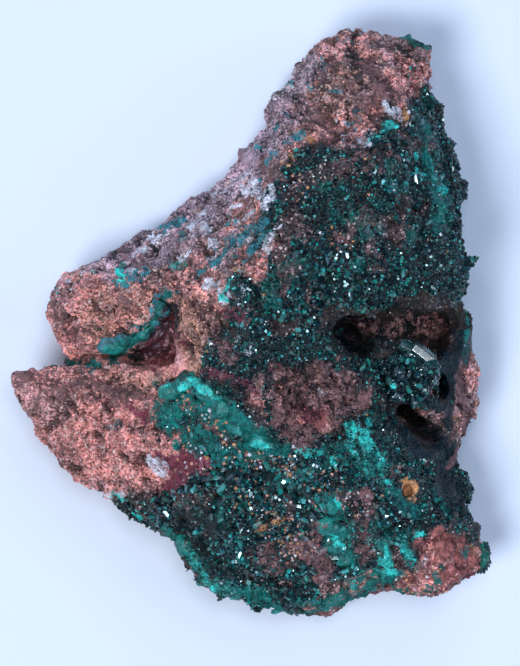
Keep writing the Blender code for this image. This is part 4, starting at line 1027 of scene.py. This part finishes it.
def grains_group():
    """The sugary grain of broken rock: a tint for each grain, pits between them that are darkened as painted shade, a
    few grains for a painted highlight, and their height.
    """
    name = "rock_grain"
    if name in bpy.data.node_groups:
        return bpy.data.node_groups[name]
    inputs = [("Place", "Vector"), ("Size", "Float")]
    outputs = [("Tint", "Float"), ("Pits", "Float"), ("Height", "Float"), ("Bright", "Float")]
    tree, paint, given, result = node_group(name, "ShaderNodeTree", inputs, outputs)
    scale = paint.maths("DIVIDE", 1.0, given["Size"])
    wobble = paint.add("ShaderNodeTexNoise", {"Vector": given["Place"], "Scale": scale})["Color"]
    warped = paint.vectors("MULTIPLY_ADD", wobble, (0.3 * MM, 0.3 * MM, 0.3 * MM), given["Place"])[0]
    cell = paint.add("ShaderNodeTexVoronoi", {"Vector": warped, "Scale": scale})
    shade, level, spark = list(paint.add("ShaderNodeSeparateColor", {0: cell["Color"]}))[:3]
    away = paint.vectors("SUBTRACT", warped, cell["Position"])[0]
    tilt = paint.vectors("SUBTRACT", cell["Color"], (0.5, 0.5, 0.5))[0]
    slope = paint.times(paint.vectors("DOT_PRODUCT", away, tilt)["Value"], paint.times(scale, 1.6))
    coarse = paint.noise(given["Place"], 1.3 * MM, 5, 0.8, 5.3)
    paint.fill(result, {
        "Tint": paint.ramp(shade, 0, 1, 0.38, 1.6),
        "Pits": paint.ramp(paint.minus(coarse, paint.times(level, 0.10)), 0.445, 0.35),
        "Bright": paint.ramp(spark, 0.86, 0.93),
        "Height": paint.plus(paint.times_plus(level, 0.25, slope), paint.times(coarse, 1.6)),
    })
    return tree


def new_material(name):
    """A material, its painter and the sockets of its shader."""
    material = bpy.data.materials.new(name)
    material.use_nodes = True
    tree = material.node_tree
    shader = next(n for n in tree.nodes if n.type == "BSDF_PRINCIPLED")
    return material, Painter(tree), shader.inputs


def stained(paint, place, base):
    """The base colour under all the stains and painted shade, and how far they cover it."""
    colours = bpy.context.scene.specimen_stains
    values = {}
    for stain in STAINS_AND_SHADE:
        values[stain] = getattr(colours, stain)
        values[stain + " cover"] = paint.mask(stain)
    return paint.group(stains_and_shade_group(), Place=place, Base=base, **values)


def weathered(paint, place, base):
    """The rock's colour, darker under the crystals and drifting from dark to pale across its face."""
    base = paint.mix(paint.mask("mud"), base, paint.shaded(base, UNDER_CRYSTALS))
    drift = paint.ramp(paint.noise(place, 4.5 * MM, 7, 0.78, 21.3), 0.34, 0.66, 0.30, 1.75)
    return paint.shaded(base, drift)


def rock_parts(paint, base):
    """The rock's own colours where it is pink, lilac or tan."""
    rock = bpy.context.scene.specimen_rock
    for name, share in (("pink", 0.65), ("lilac", 0.8), ("tan", 0.8)):
        base = paint.over(base, name, share, getattr(rock, name))
    return base


def rock_material():
    """Sugary rock: grains with a painted highlight on a few, pits, low spots and vug pores darkened as painted shade,
    its stains, the ground under the crystals and the slick skin.
    """
    rock, druse = bpy.context.scene.specimen_rock, bpy.context.scene.specimen_druse
    material, paint, shader = new_material("iron_stained_rock_grain")
    place = paint.place()
    grain = paint.group(grains_group(), Place=place, Size=rock.grain)
    broad = paint.noise(place, 9 * MM, 4, 0.6, 1.7)
    middle = paint.noise(place, 2.4 * MM, 4, 0.65, 8.2)
    fine = paint.noise(place, 1.8 * MM, 5, 0.8, 4.4)
    base = paint.mix(paint.ramp(broad, 0.40, 0.62), rock.brown, rock.pink)
    base = rock_parts(paint, paint.mix(paint.times(paint.ramp(middle, 0.45, 0.7), 0.6), base, rock.lilac))
    base = paint.mix(paint.ramp(paint.noise(place, 3.5 * MM, 4, 0.7, 12.4), 0.52, 0.68, 0.0, 0.45), base, rock.tan)
    base = weathered(paint, place, base)
    calm = paint.times(paint.mask("smooth"), 0.8)
    base = paint.mix(paint.minus(1.0, calm), base, paint.shaded(base, grain["Tint"]))
    # A few grains get a painted highlight.
    base = paint.mix(paint.times(grain["Bright"], paint.minus(0.85, calm)), base, GRAIN_HIGHLIGHT)
    rough_ground = paint.minus(1.0, paint.times(paint.mask("smooth"), 0.85))
    # Pits between the grains and the low spots of the hollow mask are darkened to the pit colour as painted shade.
    pit_shade = paint.times(grain["Pits"], paint.minus(0.75, paint.times(paint.mask("pink"), 0.3)))
    base = paint.over(paint.mix(paint.times(pit_shade, rough_ground), base, rock.pit), "hollow", 0.85, rock.pit)
    crust = paint.ramp(paint.times_plus(paint.minus(fine, 0.5), 2.5, paint.mask("druse")), 0.35, 0.65)
    ground = paint.mix(paint.ramp(fine, 0.44, 0.56), druse.deep, druse.ground)
    base = paint.mix(crust, base, paint.shaded(ground, grain["Tint"]))
    # The slick skin's navy is partly painted shade.
    base = paint.over(base, "slick", 0.95, paint.mix(paint.ramp(fine, 0.4, 0.6), druse.navy, druse.deep))
    base = paint.over(base, "fresh", 0.8, druse.green)
    stains = stained(paint, place, base)
    # The vug's pores are darkened to the pit colour as painted shade.
    pore_shade = paint.ramp(paint.noise(place, 1.5 * MM, 4, 0.75, 15.2), 0.495, 0.44)
    paint.feed(shader["Base Color"], paint.mix(paint.times(pore_shade, paint.mask("vug")), stains["Colour"], rock.pit))
    wet = paint.most(paint.most(crust, paint.mask("slick")), paint.mask("fresh"))
    dull = paint.most(paint.ramp(grain["Tint"], 0.55, 0.75, 0.25, 0.85), paint.times(grain["Pits"], 0.9))
    rough = paint.maths("SUBTRACT", dull, paint.times(wet, 0.55), clamp=True)
    paint.fill(shader, {
        "Roughness": paint.most(rough, paint.times_plus(stains["Cover"], 0.55, 0.14)),
        "IOR": ROCK_IOR,
        "Specular IOR Level": paint.times_plus(paint.mask("slick"), -0.3, 0.5),
        "Normal": paint.bump(grain["Height"], paint.times(rough_ground, 0.9), 0.30 * MM),
    })
    return material


def crumb_material():
    """Loose-looking crumbs in the rock's colours, each with its own tint."""
    rock = bpy.context.scene.specimen_rock
    material, paint, shader = new_material("iron_stained_rock_crumbs")
    place, tint = paint.place(), paint.mask("tint")
    base = paint.mix(paint.ramp(paint.noise(place, 3.0 * MM, 4, 0.65, 4.2), 0.42, 0.6), rock.brown, rock.pink)
    base = weathered(paint, place, rock_parts(paint, base))
    base = paint.shaded(base, paint.ramp(tint, 0.0, 1.0, 0.35, 1.75))
    base = paint.mix(paint.ramp(tint, 0.95, 0.98, 0, 0.7), base, WHITE_CRUMB)
    speck = paint.noise(place, 0.25 * MM, 3, 0.6)
    paint.fill(shader, {
        "Base Color": stained(paint, place, base)["Colour"],
        "Roughness": paint.ramp(speck, 0.3, 0.7, 0.55, 0.95),
        "Normal": paint.bump(speck, 0.5, 0.15 * MM),
    })
    return material


def speck_material():
    """Loose grains: each is tan, orange, red-brown, white or brown."""
    stains, rock = bpy.context.scene.specimen_stains, bpy.context.scene.specimen_rock
    material, paint, shader = new_material("pale_grains")
    place, tint = paint.place(), paint.mask("tint")
    base = rock.tan
    for low, high, colour in (
        (0.28, 0.32, stains.rust), (0.52, 0.56, stains.coral), (0.66, 0.70, stains.pale), (0.86, 0.88, stains.brown)
    ):
        base = paint.mix(paint.ramp(tint, low, high), base, colour)
    mottle = paint.noise(place, 0.4 * MM, 4, 0.7, 2.9)
    paint.fill(shader, {
        "Base Color": paint.shaded(base, paint.ramp(mottle, 0.3, 0.7, 0.5, 1.4)),
        "Roughness": paint.ramp(mottle, 0.35, 0.65, 0.3, 0.8),
        "Normal": paint.bump(mottle, 0.4, 0.12 * MM),
    })
    return material


def crystal_material(name, gloss):
    """Dark dioptase: each crystal has its own green, shade and shine, dust lies on many of them, and a few are painted
    pale as a painted glint.
    """
    druse = bpy.context.scene.specimen_druse
    material, paint, shader = new_material(name)
    place, tint = paint.place(), paint.mask("tint")
    cloud = paint.noise(place, 5 * MM, 3, 0.6, 2.2)
    green = paint.plus(paint.times(tint, 0.6), paint.times(cloud, 0.9))
    dust = paint.times_plus(paint.minus(tint, 0.5), 0.12, paint.noise(place, 1.6 * MM, 5, 0.8, 4.4))
    bloom = paint.times_plus(tint, 0.22, paint.noise(place, 3.2 * MM, 4, 0.7, 5.5))
    base = paint.mix(paint.ramp(green, 0.60, 1.0), druse.deep, druse.green)
    base = paint.mix(paint.ramp(dust, 0.47, 0.58, 0.0, 0.85), base, druse.mud)
    # The few crystals with the highest tint are painted pale as a painted glint.
    base = paint.mix(paint.ramp(tint, 0.92, 0.97), base, druse.light)
    base = paint.mix(paint.ramp(bloom, 0.70, 0.82, 0.0, 0.7), base, TURQUOISE_BLOOM)
    base = paint.over(base, "fresh", 0.8, paint.mix(paint.ramp(cloud, 0.4, 0.6), druse.green, druse.light))
    shade = paint.ramp(paint.maths("FRACT", paint.times(tint, 17.1)), 0.0, 1.0, 0.12, 2.05)
    stains = stained(paint, place, paint.shaded(base, shade))
    paint.feed(shader["Base Color"], stains["Colour"])
    share = paint.times_plus(paint.mask("coarse"), -0.3, paint.maths("FRACT", paint.times(tint, 7.3)))
    matte = paint.ramp(share, 0.36, 0.44)
    haze = paint.ramp(paint.noise(place, 1.2 * MM, 3, 0.6, 6.6), 0.45, 0.68, 0.0, 0.20)
    rough = paint.plus(paint.plus(gloss - 0.04, haze), paint.times(matte, 0.36))
    rough = paint.maths("ADD", rough, paint.times(stains["Cover"], 0.4), clamp=True)
    paint.fill(shader, {
        "Roughness": rough,
        "IOR": SPARKLING_IOR,
        "Specular IOR Level": paint.times_plus(matte, -0.6, 0.8),
        "Specular Tint": (0.70, 0.95, 1.0),
        "Normal": paint.bump(paint.noise(place, 0.35 * MM, 2, 0.5, 1.2), 0.18, 0.06 * MM),
    })
    return material


def glass_material():
    """Clear dioptase with faint veils."""
    material, paint, shader = new_material("clear_dioptase")
    veil = paint.noise(paint.place(), 1.4 * MM, 4, 0.6)
    paint.fill(shader, {
        "Base Color": paint.mix(paint.ramp(veil, 0.4, 0.65), CLEAR_DEEP, CLEAR_PALE),
        "Roughness": paint.ramp(veil, 0.4, 0.7, 0.10, 0.30),
        "IOR": DIOPTASE_IOR,
        "Transmission Weight": 0.85,
        "Normal": paint.bump(veil, 0.15, 0.1 * MM),
    })
    return material


def skin_material(name, deep, bright, gloss):
    """Rounded chrysocolla or malachite crust, brighter on its crowns as a painted highlight, over its own patchy tone.
    """
    material, paint, shader = new_material(name)
    place = paint.place()
    patch = paint.noise(place, 3.2 * MM, 5, 0.62, 0.6)
    powder = paint.noise(place, 0.5 * MM, 4, 0.7, 7.1)
    pore_shade = paint.ramp(paint.noise(place, 1.1 * MM, 5, 0.8, 9.4), 0.44, 0.36)
    # Crowns are lightened as painted highlight; the patches are the crust's own tone.
    high = paint.plus(paint.times(paint.mask("crown"), 0.45), paint.times(patch, 0.8))
    base = paint.mix(paint.ramp(high, 0.42, 0.82), deep, bright)
    base = paint.shaded(base, paint.ramp(powder, 0.3, 0.7, 0.6, 1.35))
    # Pores are darkened as painted shade.
    base = paint.mix(paint.times(pore_shade, 0.8), base, SKIN_PORE_SHADE)
    paint.fill(shader, {
        "Base Color": stained(paint, place, base)["Colour"],
        "Roughness": paint.ramp(powder, 0.3, 0.7, gloss, gloss + 0.3),
        "IOR": ROCK_IOR,
        "Normal": paint.bump(powder, 0.4, 0.18 * MM),
    })
    return material


# ---------------------------------------------------------------- operators


def ground_masks(mesh, points):
    """Stores every stain and cover on the rock's mesh, and returns them."""
    crust = BVHTree.FromObject(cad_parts["dioptase_druse"], bpy.context.evaluated_depsgraph_get())
    far = np.array([crust.find_nearest(Vector(p) * MM)[3] or 1.0 for p in points]) / MM
    masks = {name: patch_mask(points, name) for name in MASKS}
    edge = far + 0.4 * smooth_noise(points, 1.7, 41, 3) + 0.8 * np.clip(smooth_noise(points, 5.0, 43, 2), -0.4, 1)
    masks["druse"] = np.maximum(ramp(edge, 0.95, 0.35), masks["crust"])
    masks["mud"] = ramp(far, 1.9, 0.7)
    masks["blue"] = np.maximum(masks["blue"], ramp(smooth_noise(points, 5.5, 51, 4), 0.62, 0.8) * 0.6)
    masks["fresh"] = masks["fresh"] * ramp(smooth_noise(points, 1.6, 67, 3), -0.3, 0.3)
    for name, values in masks.items():
        set_mask(mesh, name, values)
    return masks


def rock_relief(points, masks, rock):
    """Height of the rock's broken surface above the smooth solid, in millimetres, and how hollow each spot is, for
    painted shade in the low spots.
    """
    smooth = np.clip(np.maximum(masks["slick"] * 0.8, masks["smooth"]), 0, 1)
    crust = masks["druse"]
    broken = 0.75 * chips(points, rock.chip / MM, 11) + 0.42 * chips(points, rock.small_chip / MM, 12)
    dents = 0.8 * ramp(smooth_noise(points, 1.9, 14, 3), 0.30, 0.75)
    bare = broken + 0.30 * smooth_noise(points, 1.0, 13, 2) - dents - 0.05
    bare = bare - masks["vug"] * (1.9 * ramp(smooth_noise(points, 1.3, 15, 2), 0.12, 0.5) - 0.3)
    grown = 0.5 * smooth_noise(points, 3.0, 21, 3) + 0.4 * chips(points, 1.8, 22) - 0.15
    powder = masks["turquoise"] * ramp(smooth_noise(points, 1.2, 32, 3), -0.5, 0.2)
    height = (bare * (1 - crust) + grown * crust) * (1 - 0.9 * smooth) + powder * (0.1 + 0.2 * bubbles(points, 0.9, 31))
    return height, ramp(-(height - powder * 0.3), 0.32, 0.75) * (1 - crust)


def stretched_tip(points):
    """The points with the left tip of the slab drawn out."""
    tip_start, tip_end, draw = -33.0, -40.0, np.array([-1.0, 1.1, 0.3])
    return points + ramp(points[:, 0], tip_start, tip_end)[:, None] * draw


class SPECIMEN_OT_rock(bpy.types.Operator):
    """Builds the broken rock with its pits, stains and the ground that the crystals grow on"""

    bl_idname = "specimen.rock"
    bl_label = "Rock"
    bl_options = {"REGISTER", "UNDO"}

    def execute(self, context):
        rock = context.scene.specimen_rock
        rock_swell, crust_swell, wear = 0.28 * MM, 0.3 * MM, 6
        obj = joined("rock_ground", node_mesh("matrix_rock", rock_swell), node_mesh("dioptase_druse", crust_swell))
        remesh(obj, rock.cell, wear)
        mesh = obj.data
        points, normals = points_of(mesh)
        height, hollow = rock_relief(points, ground_masks(mesh, points), rock)
        # The hollow mask marks low spots that the rock's colour darkens as painted shade.
        set_mask(mesh, "hollow", hollow)
        points = stretched_tip(points)
        points = nudged(points + normals * (height * above_foot(points, 0.3, 1.6))[:, None])
        low, sunk = FOOT + 0.35, FOOT - 0.4
        points[:, 2] = np.where(points[:, 2] < low, sunk, points[:, 2])
        place_points(mesh, points)
        close_foot(mesh)
        mesh.materials.append(rock_material())
        finish_piece(obj, ROCK_SLOT, "matrix_rock")
        return {"FINISHED"}


class SPECIMEN_OT_crumbs(bpy.types.Operator):
    """Scatters broken crumbs over the bare rock"""

    bl_idname = "specimen.crumbs"
    bl_label = "Crumbs of rock"
    bl_options = {"REGISTER", "UNDO"}

    def execute(self, context):
        rock = context.scene.specimen_rock
        surface = bpy.data.objects["rock_ground"].data.copy()
        points, normals = points_of(surface)
        bare = 1 - np.maximum.reduce([mask_of(surface, name) for name in ("druse", "slick", "smooth", "turquoise")])
        bare = np.maximum(bare, 0.6 * np.maximum(mask_of(surface, "brown"), mask_of(surface, "rust")))
        bare = bare * (1 - mask_of(surface, "umber"))
        above = above_foot(points, 0.5, 1.5) * ramp(normals[:, 2], -0.75, -0.35)
        set_mask(surface, "cover", bare * above * ramp(smooth_noise(points, 4.0, 61, 2), -0.9, 0.1))
        obj = grow(
            "rock_crumbs", surface, Shape=crumb_shape(), Material=crumb_material(), Cover="cover", Growth="tan",
            Spacing=rock.crumb_spacing, Smallest=0.4 * rock.crumb, Largest=rock.crumb, Extra_growth=0.3, Tilt=1.2,
            Stretch=1.1, Seed=3,
        )
        finish_piece(obj, ROCK_SLOT)
        return {"FINISHED"}


class SPECIMEN_OT_specks(bpy.types.Operator):
    """Scatters pale, tan and orange grains between the crystals"""

    bl_idname = "specimen.specks"
    bl_label = "Pale grains"
    bl_options = {"REGISTER", "UNDO"}

    def execute(self, context):
        surface = bpy.data.objects["rock_ground"].data.copy()
        points = points_of(surface)[0]
        sparse = 0.015 * mask_of(surface, "druse") * ramp(smooth_noise(points, 5.0, 65, 3), -0.2, 0.5)
        cover = np.maximum(0.75 * mask_of(surface, "speck"), sparse) * (1 - mask_of(surface, "slick"))
        set_mask(surface, "cover", cover * above_foot(points, 0.5, 1.5))
        obj = grow(
            "pale_grains", surface, Shape=crumb_shape(), Material=speck_material(), Cover="cover", Growth="cover",
            Spacing=0.6 * MM, Smallest=0.35 * MM, Largest=0.7 * MM, Extra_growth=0.0, Tilt=1.5, Stretch=1.3, Seed=21,
        )
        finish_piece(obj, ROCK_SLOT)
        return {"FINISHED"}


class SPECIMEN_OT_druse(bpy.types.Operator):
    """Grows the dioptase druse: a fine sparkling crust, with larger prisms among the small crystals"""

    bl_idname = "specimen.druse"
    bl_label = "Dioptase druse"
    bl_options = {"REGISTER", "UNDO"}

    def execute(self, context):
        druse = context.scene.specimen_druse
        finish = crystal_material("dioptase_crystals", 0.12)
        divide, far = -12.0, 1e3
        for part, low, high, prisms in (("upper", divide, far, 0.4), ("lower", -far, divide, 0.45)):
            surface = bpy.data.objects["rock_ground"].data.copy()
            points, normals = points_of(surface)
            side = (points[:, 1] >= low) & (points[:, 1] < high)
            taken = np.maximum.reduce([
                share * mask_of(surface, name) for name, share in (
                    ("slick", 1), ("bare", 1), ("turquoise", 0.6), ("brown", 0.6), ("fresh", 0.35), ("coral", 0.9)
                )
            ])
            upright = ramp(normals[:, 2], 0.1, 0.5)
            above = above_foot(points, 0.4, 1.0)
            cover = mask_of(surface, "druse") * (1 - taken) * side * above * (0.45 + 0.55 * upright)
            stray = 0.35 * mask_of(surface, "blue") * side * above * (1 - taken)
            set_mask(surface, "cover", np.maximum(cover, stray))
            set_mask(surface, "girth", np.clip(0.55 * upright + 0.6 * mask_of(surface, "coarse"), 0, 1))
            fine = grow(
                "dioptase_druse_" + part, surface.copy(), Shape=short_crystal(), Material=finish, Cover="cover",
                Growth="girth", Spacing=druse.spacing, Smallest=0.8 * druse.smallest, Largest=0.8 * druse.largest,
                Extra_growth=0.6, Tilt=0.9, Stretch=1.5, Seed=5,
            )
            set_mask(surface, "large", cover * upright * np.clip(prisms + mask_of(surface, "coarse"), 0, 1))
            large = grow(
                "dioptase_prisms_" + part, surface, Shape=long_crystal(), Material=finish, Cover="large",
                Growth="coarse", Spacing=druse.large_spacing, Smallest=0.5 * druse.prism, Largest=druse.prism,
                Extra_growth=0.3, Tilt=1.25, Stretch=1.6, Seed=8,
            )
            merge_objects(fine, large)
            finish_piece(fine, DIOPTASE_SLOT, "dioptase_druse")
        return {"FINISHED"}


class SPECIMEN_OT_hollow(bpy.types.Operator):
    """Builds the mound of crystals in the hollow, with the clear crystals on its edge"""

    bl_idname = "specimen.hollow"
    bl_label = "Crystals in the hollow"
    bl_options = {"REGISTER", "UNDO"}

    def execute(self, context):
        druse, blue = context.scene.specimen_druse, context.scene.specimen_blue
        swell, wear = 0.1 * MM, 3
        obj = joined("hollow_mound", node_mesh("hollow_crystals", swell))
        remesh(obj, blue.cell * 1.15, wear)
        mesh = obj.data
        points, normals = points_of(mesh)
        for name in MASKS:
            set_mask(mesh, name, patch_mask(points, name) if name in ("turquoise", "teal") else np.zeros(len(points)))
        height = 0.25 * chips(points, 1.3, 71) + 0.18 * smooth_noise(points, 1.5, 72, 2)
        place_points(mesh, nudged(points + normals * height[:, None]))
        finish = crystal_material("dioptase_in_hollow", 0.2)
        mesh.materials.append(finish)
        set_mask(mesh, "tint", np.full(len(points), 0.3))
        set_mask(mesh, "cover", 0.9 * ramp(normals[:, 2], -0.3, 0.2))
        crystals = grow(
            "hollow_grown", mesh.copy(), Shape=long_crystal(), Material=finish, Cover="cover", Growth="coarse",
            Spacing=1.0 * MM, Smallest=0.5 * druse.prism, Largest=1.3 * druse.prism, Extra_growth=0.0, Tilt=0.5,
            Stretch=1.0, Seed=15,
        )
        merge_objects(obj, crystals)
        obj.name = "hollow_crystals_grown"
        finish_piece(obj, DIOPTASE_SLOT, "hollow_crystals")
        clear = clear_crystals()
        clear.data.materials.append(glass_material())
        finish_piece(clear, DIOPTASE_SLOT)
        return {"FINISHED"}


class SPECIMEN_OT_blue(bpy.types.Operator):
    """Builds the rounded chrysocolla crusts and the malachite knob"""

    bl_idname = "specimen.blue"
    bl_label = "Chrysocolla and malachite"
    bl_options = {"REGISTER", "UNDO"}

    def execute(self, context):
        blue = context.scene.specimen_blue
        skin = skin_material("chrysocolla_skin", blue.deep, blue.bright, 0.32)
        seam = skin_material("chrysocolla_seam_skin", SEAM_DEEP, SEAM_BRIGHT, 0.4)
        knob = skin_material("malachite_skin", KNOB_DEEP, blue.malachite, 0.3)
        node_swell, wear, size = 0.22 * MM, 5, blue.bubble / MM
        for seed, (node, sink, finish) in enumerate((
            ("chrysocolla_lobe", 0.35, skin), ("chrysocolla_tongue", 0.3, skin), ("chrysocolla_rim", 0.1, skin),
            ("chrysocolla_seam", 0.5, seam), ("malachite_knob", 0.55, knob),
        )):
            obj = joined(node + "_skin", node_mesh(node, node_swell))
            remesh(obj, blue.cell, wear)
            mesh = obj.data
            points, normals = points_of(mesh)
            swell = 0.42 * bubbles(points, size, 80 + seed) + 0.16 * bubbles(points, 0.42 * size, 90 + seed)
            swell = swell + 0.45 * smooth_noise(points, 1.9, 95 + seed, 4) - sink
            set_mask(mesh, "crown", ramp(swell, -0.15, 0.3))
            points = nudged(points + normals * swell[:, None])
            points[:, 2] = np.maximum(points[:, 2], FOOT)
            place_points(mesh, points)
            for name in STAINS_AND_SHADE:
                set_mask(mesh, name, patch_mask(points, name))
            mesh.materials.append(finish)
            if finish == knob:
                set_mask(mesh, "cover", np.ones(len(points)))
                crystals = grow(
                    "knob_crystals", mesh.copy(), Shape=short_crystal(), Material=knob, Cover="cover",
                    Growth="cover", Spacing=0.5 * MM, Smallest=0.4 * MM, Largest=0.8 * MM, Extra_growth=0.0, Tilt=0.8,
                    Stretch=1.3, Seed=31,
                )
                merge_objects(obj, crystals)
            finish_piece(obj, BLUE_SLOT, node)
        return {"FINISHED"}


# Half the floor's width and the camera's x and y, in metres, and the width of its sensor, in millimetres.
FLOOR_HALF = 1.5
EYE = (0.00078, -0.00158)
SENSOR = 36


class SPECIMEN_OT_stage(bpy.types.Operator):
    """Sets out the pale floor, the soft light and the camera"""

    bl_idname = "specimen.stage"
    bl_label = "Stage"
    bl_options = {"REGISTER", "UNDO"}

    def execute(self, context):
        scene = context.scene
        stage, low = scene.specimen_stage, CAD_BOX[0].z
        mesh = bpy.data.meshes.new("floor")
        corners = [(x * FLOOR_HALF, y * FLOOR_HALF, low) for x, y in ((-1, -1), (1, -1), (1, 1), (-1, 1))]
        mesh.from_pydata(corners, [], [(0, 1, 2, 3)])
        floor = new_object("floor", mesh)
        material, paint, shader = new_material("pale_floor")
        paper = paint.noise(paint.place(), 40 * MM, 3, 0.5)
        paint.feed(shader["Base Color"], paint.mix(paper, stage.floor, tuple(c * 0.97 for c in stage.floor)))
        paint.feed(shader["Roughness"], 0.9)
        mesh.materials.append(material)

        scene.world = bpy.data.worlds.new("soft_light")
        scene.world.use_nodes = True
        sky = scene.world.node_tree.nodes["Background"]
        sky.inputs["Color"].default_value = (*stage.sky, 1)
        sky.inputs["Strength"].default_value = stage.sky_strength

        # Each soft box: its radiance, colour, width and place, in metres from the specimen's middle.
        for name, radiance, tint, size, spot in (
            ("window_box", stage.window, stage.lamp_colour, 0.80, (-0.75, -0.66, 2.12)),
            ("top_box", stage.overhead, stage.lamp_colour, 0.80, (0.20, 0.35, 2.30)),
            ("back_box", stage.fill, stage.fill_colour, 1.40, (0.56, 1.75, 1.85)),
            ("right_box", 0.85 * stage.fill, stage.fill_colour, 1.40, (1.85, 0.25, 1.80)),
        ):
            lamp = bpy.data.lights.new(name, "AREA")
            lamp.size, lamp.energy, lamp.color = size, radiance * math.pi * size * size, tint
            light = new_object(name, lamp)
            light.location = spot
            light.rotation_euler = (-Vector(spot)).to_track_quat("-Z", "Y").to_euler()

        eye = bpy.data.cameras.new("camera")
        eye.lens, eye.sensor_width = stage.lens, SENSOR
        scene.camera = new_object("camera", eye)
        scene.camera.location = (*EYE, low + stage.height)
        scene.view_settings.view_transform = "Standard"
        return {"FINISHED"}


OPERATORS = (
    SPECIMEN_OT_rock, SPECIMEN_OT_crumbs, SPECIMEN_OT_specks, SPECIMEN_OT_druse, SPECIMEN_OT_hollow,
    SPECIMEN_OT_blue, SPECIMEN_OT_stage,
)


class SPECIMEN_PT_panel(bpy.types.Panel):
    """Lists the steps that build the specimen, and its sizes and colours"""

    bl_idname = "SPECIMEN_PT_panel"
    bl_label = "Dioptase specimen"
    bl_space_type = "VIEW_3D"
    bl_region_type = "UI"
    bl_category = "Specimen"

    def draw(self, context):
        for operator in OPERATORS:
            self.layout.operator(operator.bl_idname)
        for name, group in GROUPS.items():
            box = self.layout.box()
            settings = getattr(context.scene, name)
            for key in group.__annotations__:
                box.prop(settings, key)


CLASSES = (*GROUPS.values(), *OPERATORS, SPECIMEN_PT_panel)


def register():
    for item in CLASSES:
        bpy.utils.register_class(item)
    for name, group in GROUPS.items():
        setattr(bpy.types.Scene, name, PointerProperty(type=group))


def unregister():
    for name in GROUPS:
        delattr(bpy.types.Scene, name)
    for item in reversed(CLASSES):
        bpy.utils.unregister_class(item)


def main():
    """Builds the specimen and its stage step by step."""
    register()
    for operator in OPERATORS:
        group, name = operator.bl_idname.split(".")
        getattr(getattr(bpy.ops, group), name)()


if __name__ == "__main__":
    main()
